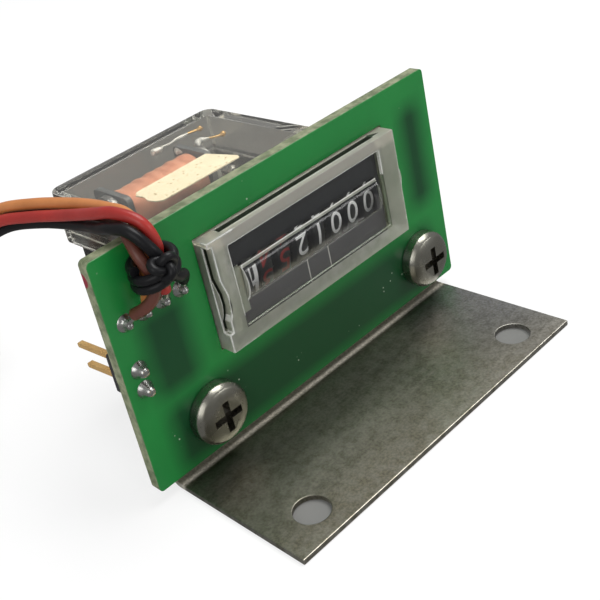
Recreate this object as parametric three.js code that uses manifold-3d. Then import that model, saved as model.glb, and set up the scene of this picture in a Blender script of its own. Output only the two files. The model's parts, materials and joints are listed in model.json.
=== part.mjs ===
// Hour meter: a seven-wheel register in a clear housing behind a small green
// circuit board, on a steel angle bracket, with four supply leads.
// Millimetres, +Z up, +Y to the back. The origin is on the underside of the
// bracket's foot, midway between its two fixing holes.

import * as THREE from 'three';
import { mergeVertices } from 'three/addons/utils/BufferGeometryUtils.js';
import Module from 'manifold-3d';

const wasm = await Module();
wasm.setup();

// Fits between pieces
const slip = 0.05;
const seatGap = 0.15;
const cutGap = 0.3;
const overrun = 1;

// Angle bracket
const sheet = 0.7;
const bendInside = 1;
const bracketBeyondLeft = 6.95;
const bracketBeyondRight = 3.65;
const footReach = 4.3;
const holeSetback = 16.9;
const flangeHeight = 11.2;
const footHoleInset = 5.7;
const footHoleRadius = 2.15;

// Circuit board
const boardEndLeft = 13.12;
const boardEndRight = 9.28;
const boardAbove = 4.2;
const boardThick = 1.6;
const boardCorner = 0.6;
const nubSize = 0.9;
const nubHeight = 14.8;
const padSetX = 2.27;
const pinPitch = 2.54;
const padHeight = 21.65;
const padHoleRadius = 0.5;

// Screws and nuts that hold the board to the bracket
const screwSpacing = 37.7;
const screwHeight = 5.15;
const screwRadius = 2;
const screwHoleRadius = 2.15;
const screwHeadRadius = 3.8;
const screwHeadHeight = 2.5;
const screwLength = 6;
const recessLength = 4;
const recessWidth = 0.9;
const recessDepth = 1.3;
const nutAcross = 7;
const nutThick = 3.2;

// Register housing, the clear moulding that passes through the board
const registerGapLeft = 0.83;
const registerGapRight = 0.77;
const registerGapHigh = 1.2;
const registerGapBack = 1;
const housingLift = 11.6;
const housingProud = 2.1;
const housingWall = 1.2;
const housingEndWall = 1.5;
const backSlopeRise = 3.1;
const backSlopeRun = 4.6;
const paneRecess = 0.4;
const paneThick = 0.6;
const windowEndLeft = 2.8;
const windowEndRight = 3.1;
const windowHeight = 10.4;
const windowLift = 0.3;
const lensHeight = 4.7;
const lensBulge = 0.9;
const lensLift = 4.95;
const lensEndSet = 1.1;
const maskSlotEnd = 2.85;
const springSlit = 0.3;
const springWall = 0.28;
const springBump = 0.55;
const springSetback = 1;
const springSlitHeight = 11;
const springSlitLift = 0.9;
const snapEarRadius = 2.7;
const snapEarReach = 1.1;
const snapEarThick = 1.1;

// Mask plate with the slot that shows the digits
const maskThick = 0.6;
const maskGap = 0.1;
const maskTopSet = 0.5;
const maskSlotHeight = 4.4;
const digitSlotEnd = 3.85;

// Register
const wheelPitch = 3;
const wheelCount = 7;
const firstWheelX = 5;
const wheelRadius = 4.7;
const wheelGap = 0.6;
const rimWidth = 1.9;
const rimSides = 30;
const sideGearWidth = 0.5;
const lockDiscWidth = 0.3;
const wheelShaftRadius = 0.75;
const hubRadius = 1.6;
const recessOuterRadius = 2.7;
const recessIntoWheel = 1.4;
const transferModule = 0.38;
const wheelTeeth = 20;
const pinionTeeth = 8;
const pinionShaftRadius = 0.4;
const pinionSideGap = 0.1;
const pinionAngle = -Math.PI / 4;
const ringWidth = 1.5;

// Plates and gear train
const plateThick = 0.6;
const plateGap = 0.1;
const driveModule = 0.3;
const driveTeeth = 32;
const reductionTeeth = 24;
const smallTeeth = 8;
const gearWidth = 0.8;
const gearGap = 0.2;
const driveTubeRadius = 1.4;
const tubeClearance = 0.3;
const reductionDrop = 1.9;
const rotorDrop = 1.3;
const arborRadius = 0.4;
const lobeRadius = 1.4;

// Coil, core, pole plates and rotor
const coilLength = 12;
const coilShiftX = 6.2;
const coilBack = 4.6;
const coilTopGap = 0.5;
const flangeHalf = 3.6;
const flangeThick = 0.8;
const windingRadius = 3.05;
const windingWire = 0.5;
const windingTurns = 10;
const windingStepsPerTurn = 24;
const windingSides = 6;
const innerLayerRadius = 2.7;
const bobbinTube = 1.7;
const coreHalf = 1;
const poleThick = 0.8;
const poleGap = 0.1;
const poleWidth = 6.4;
const clawGap = 0.3;
const clawThick = 0.7;
const magnetRadius = 2.3;
const magnetLength = 6;
const magnetSetback = 3;

// Rear case: a cover that telescopes over a base
const caseGapLeft = 0.44;
const caseGapRight = 0.58;
const caseGapBack = 0.4;
const caseGapLow = 0.1;
const roofGap = 1.2;
const coverHeight = 7;
const coverWall = 1.3;
const coverRoof = 1.5;
const coverCorner = 1.6;
const baseWall = 1.2;
const baseRim = 1.4;

// Circuit inside the case
const innerBoardWidth = 4.9;
const innerBoardLength = 9.2;
const innerBoardThick = 0.8;
const innerBoardLift = 8.6;
const innerBoardGap = 0.3;
const chipWidth = 3;
const chipLength = 2;
const chipHeight = 1;
const crystalRadius = 1;
const crystalLength = 5.4;
const fineWire = 0.16;
const solderBead = 0.5;
const stripThick = 0.15;
const stripWidth = 5.2;
const stripLength = 13.1;
const stripFront = 6.2;
const stripShift = 12.1;

// Pin header
const headerSetX = 2.15;
const headerLift = 13.18;
const headerBody = 2.5;
const pinHalf = 0.32;
const pinBack = 10.4;
const pinShorter = 0.8;
const pinSag = 0.7;
const filletRadius = 0.95;
const filletHeight = 0.8;
const filletTip = 0.42;
const pinFront = 0.5;

// Supply leads, their tie and their connector
const leadRadius = 0.675;
const leadSides = 8;
const leadSteps = 40;
const bundleRadius = 1.14;
const tieBore = 2.22;
const tieRadius = 2.72;
const tieHeight = 2.4;
const coreWire = 0.3;
const connectorWidth = 12.2;
const connectorLength = 10.6;
const connectorHeight = 5;
const connectorHole = 0.9;
const connectorSocket = 0.45;
const connectorMouth = 3;

// Heights and setbacks worked out from the sizes above
const boardBack = holeSetback;
const boardFront = boardBack - boardThick;
const boardBottom = sheet + bendInside;
const flangeBack = boardBack + sheet;
const housingFront = boardFront - housingProud;
const housingBottom = boardBottom + housingLift;
const housingHeight = 2 * (wheelRadius + registerGapHigh + housingWall);
const housingTop = housingBottom + housingHeight;
const boardTop = housingTop + boardAbove;
const housingMiddle = (housingBottom + housingTop) / 2;
const paneFront = housingFront + paneRecess;
const paneBack = paneFront + paneThick;
const maskFront = paneBack + maskGap;
const maskBack = maskFront + maskThick;
const wheelY = maskBack + wheelGap + wheelRadius;
const housingBack = wheelY + wheelRadius + registerGapBack + housingWall;
const wheelZ = housingMiddle;
const pinionReach = transferModule * (wheelTeeth + pinionTeeth) / 2;
const pinionY = wheelY + pinionReach * Math.cos(pinionAngle);
const pinionZ = wheelZ + pinionReach * Math.sin(pinionAngle);
const driveReach = driveModule * (driveTeeth + smallTeeth) / 2;
const reductionY = wheelY + Math.sqrt(driveReach ** 2 - reductionDrop ** 2);
const reductionZ = wheelZ - reductionDrop;
const rotorReach = driveModule * (reductionTeeth + smallTeeth) / 2;
const rotorY = reductionY + Math.sqrt(rotorReach ** 2 - rotorDrop ** 2);
const rotorZ = reductionZ - rotorDrop;
const driveAngle = Math.atan2(reductionZ - wheelZ, reductionY - wheelY);
const rotorAngle = Math.atan2(rotorZ - reductionZ, rotorY - reductionY);

// Places along the register's shaft, from left to right
const firstWheelLeft = -firstWheelX - rimWidth / 2;
const ringRight = firstWheelLeft - sideGearWidth - plateGap;
const ringLeft = ringRight - ringWidth;
const leftPlateRight = ringLeft - plateGap;
const leftPlateLeft = leftPlateRight - plateThick;
const driveRight = leftPlateLeft - gearGap;
const driveLeft = driveRight - gearWidth;
const reductionRight = driveLeft - gearGap;
const reductionLeft = reductionRight - gearWidth;
const gearPlateRight = reductionLeft - gearGap;
const gearPlateLeft = gearPlateRight - plateThick;
const lastWheelX = -firstWheelX + wheelPitch * (wheelCount - 1);
const rightPlateLeft = lastWheelX + rimWidth / 2 + lockDiscWidth + plateGap;
const rightPlateRight = rightPlateLeft + plateThick;
const housingLeft = gearPlateLeft - registerGapLeft - housingEndWall;
const housingRight = rightPlateRight + registerGapRight + housingEndWall;
const maskSlotLeft = housingLeft + maskSlotEnd;
const maskSlotRight = housingRight - maskSlotEnd;
const boardLeft = housingLeft - boardEndLeft;
const boardRight = housingRight + boardEndRight;
const headerX = boardLeft + headerSetX;

// The coil and what it drives
const caseBottom = housingBottom - caseGapLow - baseWall;
const roofUnderside = housingTop + roofGap;
const caseTop = roofUnderside + coverRoof;
const partingHeight = caseTop - coverHeight;
const coilY = housingBack + coilBack;
const coilZ = roofUnderside - coilTopGap - windingRadius - windingWire / 2;
const coilLeft = -coilShiftX - coilLength / 2;
const coilRight = -coilShiftX + coilLength / 2;
const poleLeft = coilLeft - flangeThick - poleGap - poleThick;
const poleRight = coilRight + flangeThick + poleGap;
const clawInner = magnetRadius + clawGap;
const clawOuter = clawInner + clawThick;
const magnetLeft = gearPlateRight + magnetSetback;
const magnetRight = magnetLeft + magnetLength;
const innerBoardX = poleRight + poleThick + innerBoardGap;
const innerBoardY = housingBack + innerBoardGap;
const innerBoardTop = boardBottom + housingLift + innerBoardLift;
const caseWalls = coverWall + baseWall;
const caseLeft = poleLeft - caseGapLeft - caseWalls;
const caseRight = innerBoardX + innerBoardWidth + caseGapRight + caseWalls;
const caseBack = innerBoardY + innerBoardLength + caseGapBack + caseWalls;

// Materials
const finish = (color, roughness, metalness) =>
  new THREE.MeshStandardMaterial({ color, roughness, metalness });
const steel = finish(0x8d8879, 0.35, 1);
const nickel = finish(0xb9b4a8, 0.3, 1);
const boardGreen = finish(0x1f7a38, 0.35, 0);
const clearPlastic = finish(0xc4cbbb, 0.2, 0);
const clearGrey = finish(0x9ba09a, 0.15, 0);
const blackPlastic = finish(0x1b1c1e, 0.5, 0);
const maskGrey = finish(0x35363a, 0.45, 0);
const wheelBlack = finish(0x17181a, 0.4, 0);
const wheelRed = finish(0x8c1f1c, 0.4, 0);
const ringWhite = finish(0xd8dade, 0.5, 0);
const brass = finish(0xb8954a, 0.3, 1);
const whitePlastic = finish(0xd9d6cc, 0.5, 0);
const bobbinGrey = finish(0x55585a, 0.5, 0);
const copper = finish(0xc98058, 0.4, 0.6);
const iron = finish(0x77787a, 0.4, 1);
const magnetGrey = finish(0x3b3c40, 0.4, 0.6);
const boardBrown = finish(0x7d6443, 0.6, 0);
const tin = finish(0xd0d0cc, 0.35, 1);
const gold = finish(0xd9a441, 0.3, 1);
const cream = finish(0xe9dfbb, 0.8, 0);
const orangeLead = finish(0xc9712f, 0.4, 0);
const brownLead = finish(0x5b2f22, 0.4, 0);
const redLead = finish(0xb8232a, 0.4, 0);
const blackLead = finish(0x141414, 0.4, 0);

const hourMeter = new THREE.Group();

function addPiece(name, geometry, material) {
  const mesh = new THREE.Mesh(geometry, material);
  mesh.name = name;
  hourMeter.add(mesh);
  return mesh;
}

// Solids for joining and cutting
function solidOf(geometry) {
  const bare = geometry.clone();
  bare.deleteAttribute('normal');
  bare.deleteAttribute('uv');
  const merged = mergeVertices(bare);
  const mesh = new wasm.Mesh({
    numProp: 3,
    vertProperties: new Float32Array(merged.attributes.position.array),
    triVerts: new Uint32Array(merged.index.array),
  });
  return new wasm.Manifold(mesh);
}

function geometryOf(solid) {
  const mesh = solid.getMesh();
  const geometry = new THREE.BufferGeometry();
  geometry.setAttribute('position', new THREE.BufferAttribute(mesh.vertProperties, 3));
  geometry.setIndex(new THREE.BufferAttribute(mesh.triVerts, 1));
  geometry.computeVertexNormals();
  return geometry;
}

function joined(geometries) {
  const solids = geometries.map(solidOf);
  return geometryOf(solids.reduce((whole, next) => whole.add(next)));
}

function cut(geometry, tools) {
  const solids = tools.map(solidOf);
  return geometryOf(solids.reduce((whole, next) => whole.subtract(next), solidOf(geometry)));
}

// Flat outlines
function polygon(points) {
  return new THREE.Shape(points.map(([u, v]) => new THREE.Vector2(u, v)));
}

function roundOutline(u, v, radius, sides) {
  const points = [];
  for (let i = 0; i < sides; i += 1) {
    const angle = 2 * Math.PI * i / sides;
    points.push([u + radius * Math.cos(angle), v + radius * Math.sin(angle)]);
  }
  return polygon(points);
}

function rectangle(left, right, low, high) {
  return polygon([[left, low], [right, low], [right, high], [left, high]]);
}

function roundedRectangle(left, right, low, high, radius) {
  const shape = new THREE.Shape();
  shape.moveTo(left + radius, low);
  shape.lineTo(right - radius, low);
  shape.absarc(right - radius, low + radius, radius, -Math.PI / 2, 0, false);
  shape.lineTo(right, high - radius);
  shape.absarc(right - radius, high - radius, radius, 0, Math.PI / 2, false);
  shape.lineTo(left + radius, high);
  shape.absarc(left + radius, high - radius, radius, Math.PI / 2, Math.PI, false);
  shape.lineTo(left, low + radius);
  shape.absarc(left + radius, low + radius, radius, Math.PI, 1.5 * Math.PI, false);
  return shape;
}

function capsule(u0, v0, u1, v1, radius) {
  const heading = Math.atan2(v1 - v0, u1 - u0);
  const shape = new THREE.Shape();
  shape.absarc(u1, v1, radius, heading - Math.PI / 2, heading + Math.PI / 2, false);
  shape.absarc(u0, v0, radius, heading + Math.PI / 2, heading + 1.5 * Math.PI, false);
  return shape;
}

// Gear outline: the phase is the angle of the middle of the first tooth
const toothTipShare = 0.2;
const toothRootShare = 0.52;
const addendumShare = 0.88;
const dedendumShare = 1.1;

function gearOutline(u, v, teeth, module, phase) {
  const pitchRadius = teeth * module / 2;
  const root = pitchRadius - dedendumShare * module;
  const tip = pitchRadius + addendumShare * module;
  const step = 2 * Math.PI / teeth;
  const profile = [
    [root, -toothRootShare / 2],
    [tip, -toothTipShare / 2],
    [tip, toothTipShare / 2],
    [root, toothRootShare / 2],
  ];
  const points = [];
  for (let i = 0; i < teeth; i += 1) {
    for (const [radius, share] of profile) {
      const angle = phase + step * (i + share);
      points.push([u + radius * Math.cos(angle), v + radius * Math.sin(angle)]);
    }
  }
  return polygon(points);
}

// Slabs of an outline, drawn in the plane that faces along X, Y or Z
function extruded(shape, depth, segments) {
  return new THREE.ExtrudeGeometry(shape, {
    depth,
    bevelEnabled: false,
    curveSegments: segments,
  });
}

const axisX = new THREE.Vector3(1, 0, 0);
const axisY = new THREE.Vector3(0, 1, 0);
const axisZ = new THREE.Vector3(0, 0, 1);

function slabX(shape, left, right, segments = 6) {
  const geometry = extruded(shape, right - left, segments);
  geometry.applyMatrix4(new THREE.Matrix4().makeBasis(axisY, axisZ, axisX));
  return geometry.translate(left, 0, 0);
}

function slabY(shape, front, back, segments = 6) {
  const geometry = extruded(shape, back - front, segments);
  geometry.applyMatrix4(new THREE.Matrix4().makeBasis(axisX, axisZ, axisY.clone().negate()));
  return geometry.translate(0, back, 0);
}

function slabZ(shape, low, high, segments = 6) {
  return extruded(shape, high - low, segments).translate(0, 0, low);
}

function box(left, right, front, back, low, high) {
  return slabZ(rectangle(left, right, front, back), low, high);
}

function rodX(y, z, radius, left, right, sides) {
  return slabX(roundOutline(y, z, radius, sides), left, right);
}

function rodY(x, z, radius, front, back, sides) {
  return slabY(roundOutline(x, z, radius, sides), front, back);
}

function rodZ(x, y, radius, low, high, sides) {
  return slabZ(roundOutline(x, y, radius, sides), low, high);
}

function turnedY(points, x, z, sides) {
  const outline = points.map(([radius, y]) => new THREE.Vector2(radius, y));
  return new THREE.LatheGeometry(outline, sides).translate(x, 0, z);
}

function tube(points, radius, steps, sides) {
  const path = new THREE.CatmullRomCurve3(points, false, 'centripetal');
  return new THREE.ExtrudeGeometry(roundOutline(0, 0, radius, sides), {
    steps,
    bevelEnabled: false,
    extrudePath: path,
  });
}

// The register housing's section in the YZ plane, drawn in by an inset
function sectionOutline(front, inset) {
  const slope = Math.hypot(backSlopeRise, backSlopeRun);
  const low = housingBottom + inset;
  const high = housingTop - inset;
  const back = housingBack - inset;
  const slopeSet = inset * slope;
  const backHigh = housingTop - backSlopeRise
    - (slopeSet - inset * backSlopeRise) / backSlopeRun;
  const topBack = housingBack - backSlopeRun
    - (slopeSet - inset * backSlopeRun) / backSlopeRise;
  return polygon([[front, low], [back, low], [back, backHigh], [topBack, high], [front, high]]);
}

// Bracket: one bent strip with two foot holes and two flange holes
const bracketHalf = (bracketBeyondLeft + screwSpacing + bracketBeyondRight) / 2;
const screwX = [bracketBeyondLeft - bracketHalf, bracketHalf - bracketBeyondRight];
const screwZ = boardBottom + screwHeight;

function bracketShape() {
  const bendOutside = bendInside + sheet;
  const bendY = flangeBack - bendOutside;
  const profile = new THREE.Shape();
  profile.moveTo(-footReach, 0);
  profile.lineTo(bendY, 0);
  profile.absarc(bendY, bendOutside, bendOutside, -Math.PI / 2, 0, false);
  profile.lineTo(flangeBack, flangeHeight);
  profile.lineTo(flangeBack - sheet, flangeHeight);
  profile.lineTo(flangeBack - sheet, bendOutside);
  profile.absarc(bendY, bendOutside, bendInside, 0, -Math.PI / 2, true);
  profile.lineTo(-footReach, sheet);
  const strip = slabX(profile, -bracketHalf, bracketHalf, 6);
  const holes = [];
  for (const side of [-1, 1]) {
    const x = side * (bracketHalf - footHoleInset);
    holes.push(rodZ(x, 0, footHoleRadius, -overrun, sheet + overrun, 28));
  }
  for (const x of screwX) {
    holes.push(rodY(x, screwZ, screwHoleRadius, boardBack - overrun, flangeBack + overrun, 20));
  }
  return cut(strip, holes);
}

// Circuit board with its cut-out for the register housing
function boardShape() {
  const left = boardLeft;
  const right = boardRight;
  const nubLow = boardBottom + nubHeight;
  const outline = new THREE.Shape();
  outline.moveTo(left + boardCorner, boardBottom);
  outline.lineTo(right - boardCorner, boardBottom);
  outline.absarc(right - boardCorner, boardBottom + boardCorner, boardCorner,
    -Math.PI / 2, 0, false);
  outline.absarc(right - boardCorner, boardTop - boardCorner, boardCorner, 0, Math.PI / 2, false);
  outline.absarc(left + boardCorner, boardTop - boardCorner, boardCorner,
    Math.PI / 2, Math.PI, false);
  outline.lineTo(left, nubLow + 2 * nubSize);
  outline.lineTo(left - nubSize, nubLow + nubSize);
  outline.lineTo(left - nubSize, nubLow);
  outline.lineTo(left, nubLow);
  outline.absarc(left + boardCorner, boardBottom + boardCorner, boardCorner,
    Math.PI, 1.5 * Math.PI, false);
  outline.holes.push(rectangle(
    housingLeft - seatGap, housingRight + seatGap,
    housingBottom - seatGap, housingTop + seatGap));
  for (const x of screwX) {
    outline.holes.push(roundOutline(x, screwZ, screwHoleRadius, 20));
  }
  for (let i = 0; i < 4; i += 1) {
    outline.holes.push(roundOutline(padX(i), boardBottom + padHeight, padHoleRadius, 10));
  }
  for (let i = 0; i < 2; i += 1) {
    outline.holes.push(roundOutline(headerX, pinZ(i), padHoleRadius, 10));
  }
  return slabY(outline, boardFront, boardBack, 5);
}

function padX(index) {
  return boardLeft + padSetX + pinPitch * index;
}

function pinZ(index) {
  return boardBottom + headerLift + pinPitch * index;
}

// Pan-head screw with a cross recess
function screwShape(x) {
  const crown = boardFront - screwHeadHeight;
  const edgeShare = 0.45;
  const shoulderShare = 0.88;
  const flatShare = 0.55;
  const turned = turnedY([
    [0, crown],
    [screwHeadRadius * flatShare, crown],
    [screwHeadRadius * shoulderShare, crown + screwHeadHeight * edgeShare / 2],
    [screwHeadRadius, crown + screwHeadHeight * edgeShare],
    [screwHeadRadius, boardFront],
    [screwRadius, boardFront],
    [screwRadius, boardFront + screwLength],
    [0, boardFront + screwLength],
  ], x, screwZ, 24);
  const half = recessLength / 2;
  const narrow = recessWidth / 2;
  const low = crown - overrun;
  const high = crown + recessDepth;
  return cut(turned, [
    box(x - half, x + half, low, high, screwZ - narrow, screwZ + narrow),
    box(x - narrow, x + narrow, low, high, screwZ - half, screwZ + half),
  ]);
}

function nutShape(x) {
  const outline = roundOutline(x, screwZ, nutAcross / Math.sqrt(3), 6);
  outline.holes.push(roundOutline(x, screwZ, screwRadius + seatGap, 24));
  return slabY(outline, flangeBack, flangeBack + nutThick);
}

// Register housing: clear moulding, open behind the case, closed beyond it,
// with a recessed pane, a lens bar over the digits, a mask slot and snap ears
function housingShape() {
  const outer = slabX(sectionOutline(housingFront, 0), housingLeft, housingRight);
  const innerLeft = housingLeft + housingEndWall;
  const innerRight = housingRight - housingEndWall;
  const cavity = slabX(sectionOutline(paneBack, housingWall), innerLeft, innerRight);
  const mouth = box(innerLeft, caseRight - coverWall - cutGap,
    housingBack - housingWall - overrun, housingBack + overrun,
    housingBottom + housingWall, housingTop - backSlopeRise);
  const windowLeft = housingLeft + windowEndLeft;
  const windowRight = housingRight - windowEndRight;
  const windowLow = housingMiddle - windowHeight / 2 + windowLift;
  const recess = box(windowLeft, windowRight, housingFront - overrun, paneFront,
    windowLow, windowLow + windowHeight);
  const maskSlot = box(maskSlotLeft, maskSlotRight, paneBack, maskBack + maskGap,
    housingTop - housingWall - overrun, housingTop + overrun);
  const body = cut(outer, [cavity, mouth, recess, maskSlot, ...springCuts()]);
  return joined([body, lensShape(windowLeft, windowRight, windowLow), earShape()]);
}

// The spring wall at the left end: a slit frees it, bowing round the bump of the
// snap, and its front end is set back from the rim
function springCuts() {
  const bowShares = [
    [0, 1], [0, 0.62], [0.9, 0.42], [1, 0.29], [0.6, 0.19], [0, 0.13], [0, 0],
  ];
  const left = housingLeft + springWall;
  const middle = housingMiddle + springSlitLift;
  const low = middle - springSlitHeight / 2;
  const near = bowShares.map(([u, v]) => [left + u * springBump, low + v * springSlitHeight]);
  const far = near.map(([u, v]) => [u + springSlit, v]).reverse();
  const outside = housingLeft - overrun;
  const front = housingFront - overrun;
  return [
    slabY(polygon([...near, ...far]), front, boardBack),
    slabY(polygon([...near, [outside, low], [outside, low + springSlitHeight]]),
      front, housingFront + springSetback),
  ];
}

function lensShape(windowLeft, windowRight, windowLow) {
  const low = windowLow + lensLift - lensHeight / 2;
  const high = low + lensHeight;
  const radius = (lensHeight ** 2 / 4 + lensBulge ** 2) / (2 * lensBulge);
  const spread = Math.asin(lensHeight / 2 / radius);
  const centre = paneFront - lensBulge + radius;
  const section = new THREE.Shape();
  section.moveTo(paneFront + paneThick / 2, low);
  section.lineTo(paneFront + paneThick / 2, high);
  section.absarc(centre, (low + high) / 2, radius, Math.PI - spread, Math.PI + spread, false);
  return slabX(section, windowLeft + lensEndSet, windowRight - lensEndSet, 10);
}

function earShape() {
  const bulge = (snapEarRadius ** 2 + snapEarReach ** 2) / (2 * snapEarReach);
  const spread = Math.asin(snapEarRadius / bulge);
  const outline = new THREE.Shape();
  const centre = housingRight + snapEarReach - bulge;
  outline.absarc(centre, housingMiddle, bulge, -spread, spread, false);
  outline.lineTo(housingRight - housingEndWall / 2, housingMiddle + snapEarRadius);
  outline.lineTo(housingRight - housingEndWall / 2, housingMiddle - snapEarRadius);
  const back = boardFront - seatGap;
  return slabY(outline, back - snapEarThick, back, 12);
}

// Mask plate behind the pane, slid in from the top
function maskShape() {
  const outline = rectangle(
    maskSlotLeft + seatGap, maskSlotRight - seatGap,
    housingBottom + housingWall + seatGap, housingTop - maskTopSet);
  outline.holes.push(rectangle(
    housingLeft + digitSlotEnd, housingRight - digitSlotEnd,
    wheelZ - maskSlotHeight / 2, wheelZ + maskSlotHeight / 2));
  return slabY(outline, maskFront, maskBack);
}

// Side plates of the register
function plateShape(left, right, holes, lobe) {
  const section = sectionOutline(maskBack + plateGap, housingWall + seatGap);
  const blank = slabX(section, left, right);
  const whole = lobe ? joined([blank, slabX(lobe, left, right)]) : blank;
  const tools = holes.map(([y, z, radius]) =>
    rodX(y, z, radius, left - overrun, right + overrun, 16));
  return cut(whole, tools);
}

const shaftHole = [wheelY, wheelZ, wheelShaftRadius + slip];
const pinionHole = [pinionY, pinionZ, pinionShaftRadius + slip];
const reductionHole = [reductionY, reductionZ, arborRadius + slip];
const rotorHole = [rotorY, rotorZ, arborRadius + slip];
const tubeHole = [wheelY, wheelZ, driveTubeRadius + tubeClearance];

function gearPlateShape() {
  const lobe = capsule(reductionY - lobeRadius, reductionZ, rotorY, rotorZ, lobeRadius);
  return plateShape(gearPlateLeft, gearPlateRight, [shaftHole, reductionHole, rotorHole], lobe);
}

function leftPlateShape() {
  return plateShape(leftPlateLeft, leftPlateRight, [tubeHole, pinionHole, reductionHole], null);
}

function rightPlateShape() {
  return plateShape(rightPlateLeft, rightPlateRight, [shaftHole, pinionHole], null);
}

// Number wheel: rim, side gear on the left that its pinion turns, locking disc
// with two driving notches on the right. The first wheel has a drive tube.
function wheelShape(index) {
  const x = -firstWheelX + wheelPitch * index;
  const left = x - rimWidth / 2;
  const right = x + rimWidth / 2;
  const pieces = [rodX(wheelY, wheelZ, wheelRadius, left, right, rimSides)];
  const cuts = [];
  const gearLeft = left - sideGearWidth;
  if (index > 0) {
    const phase = pinionAngle + Math.PI / wheelTeeth;
    const teeth = gearOutline(wheelY, wheelZ, wheelTeeth, transferModule, phase);
    pieces.push(slabX(teeth, gearLeft, left + overrun / 2));
    const hollow = roundOutline(wheelY, wheelZ, recessOuterRadius, 16);
    hollow.holes.push(roundOutline(wheelY, wheelZ, hubRadius, 12));
    cuts.push(slabX(hollow, gearLeft - overrun, gearLeft + recessIntoWheel));
  } else {
    pieces.push(rodX(wheelY, wheelZ, driveTubeRadius, driveLeft - slip, left + overrun / 2, 16));
  }
  if (index < wheelCount - 1) {
    pieces.push(slabX(lockDiscOutline(), right - overrun / 2, right + lockDiscWidth));
  }
  const bore = wheelShaftRadius + slip;
  cuts.push(rodX(wheelY, wheelZ, bore, driveLeft - overrun, right + overrun, 12));
  return cut(joined(pieces), cuts);
}

// Locking disc: round, with two notches a tooth apart that drive the pinion
function lockDiscOutline() {
  const radius = pinionReach - transferModule * (pinionTeeth / 2 + addendumShare) - seatGap;
  const sides = 20;
  const notchShare = 0.86;
  const points = [];
  for (let i = 0; i < sides; i += 1) {
    const angle = 2 * Math.PI * i / sides;
    const reach = i === 6 || i === 7 ? radius * notchShare : radius;
    points.push([wheelY + reach * Math.cos(angle), wheelZ + reach * Math.sin(angle)]);
  }
  return polygon(points);
}

function transferPinionShape(index) {
  const left = -firstWheelX + wheelPitch * index + rimWidth / 2 + pinionSideGap;
  const right = left + wheelPitch - rimWidth - 2 * pinionSideGap;
  const outline = gearOutline(pinionY, pinionZ, pinionTeeth, transferModule,
    pinionAngle + Math.PI);
  outline.holes.push(roundOutline(pinionY, pinionZ, pinionShaftRadius + slip, 12));
  return slabX(outline, left, right);
}

// Fixed ring that carries the hour mark beside the first wheel
function ringShape() {
  const outline = roundOutline(wheelY, wheelZ, wheelRadius, rimSides);
  outline.holes.push(roundOutline(wheelY, wheelZ, driveTubeRadius + tubeClearance, 24));
  return slabX(outline, ringLeft, ringRight);
}

// Gear train from the rotor to the first wheel
function driveGearShape() {
  const phase = driveAngle + Math.PI / driveTeeth;
  const outline = gearOutline(wheelY, wheelZ, driveTeeth, driveModule, phase);
  outline.holes.push(roundOutline(wheelY, wheelZ, driveTubeRadius + slip, 16));
  return slabX(outline, driveLeft, driveRight);
}

function reductionGearShape() {
  const wheelPhase = rotorAngle + Math.PI / reductionTeeth;
  const wheel = gearOutline(reductionY, reductionZ, reductionTeeth, driveModule, wheelPhase);
  const pinion = gearOutline(reductionY, reductionZ, smallTeeth, driveModule,
    driveAngle + Math.PI);
  return joined([
    rodX(reductionY, reductionZ, arborRadius, gearPlateLeft, leftPlateRight, 16),
    slabX(wheel, reductionLeft, reductionRight),
    slabX(pinion, reductionRight - gearWidth / 2, driveRight),
  ]);
}

function rotorShape() {
  const pinion = gearOutline(rotorY, rotorZ, smallTeeth, driveModule, rotorAngle + Math.PI);
  return joined([
    rodX(rotorY, rotorZ, arborRadius, gearPlateLeft, poleRight + poleThick, 16),
    slabX(pinion, reductionLeft, magnetLeft + overrun / 2),
    rodX(rotorY, rotorZ, magnetRadius, magnetLeft, magnetRight, 24),
  ]);
}

// Coil bobbin with square flanges
function bobbinShape() {
  const left = coilLeft - flangeThick;
  const right = coilRight + flangeThick;
  const corner = flangeThick;
  const flange = roundedRectangle(coilY - flangeHalf, coilY + flangeHalf,
    coilZ - flangeHalf, coilZ + flangeHalf, corner);
  const core = coreHalf + slip;
  const bore = rectangle(coilY - core, coilY + core, coilZ - core, coilZ + core);
  return cut(joined([
    slabX(flange, left, coilLeft, 3),
    rodX(coilY, coilZ, bobbinTube, left + flangeThick / 2, right - flangeThick / 2, 16),
    slabX(flange, coilRight, right, 3),
  ]), [slabX(bore, left - overrun, right + overrun)]);
}

// Inner layers of the winding as one plain sleeve
function innerLayersShape() {
  const outline = roundOutline(coilY, coilZ, innerLayerRadius, 24);
  outline.holes.push(roundOutline(coilY, coilZ, bobbinTube + slip, 24));
  return slabX(outline, coilLeft + seatGap, coilRight - seatGap);
}

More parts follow.
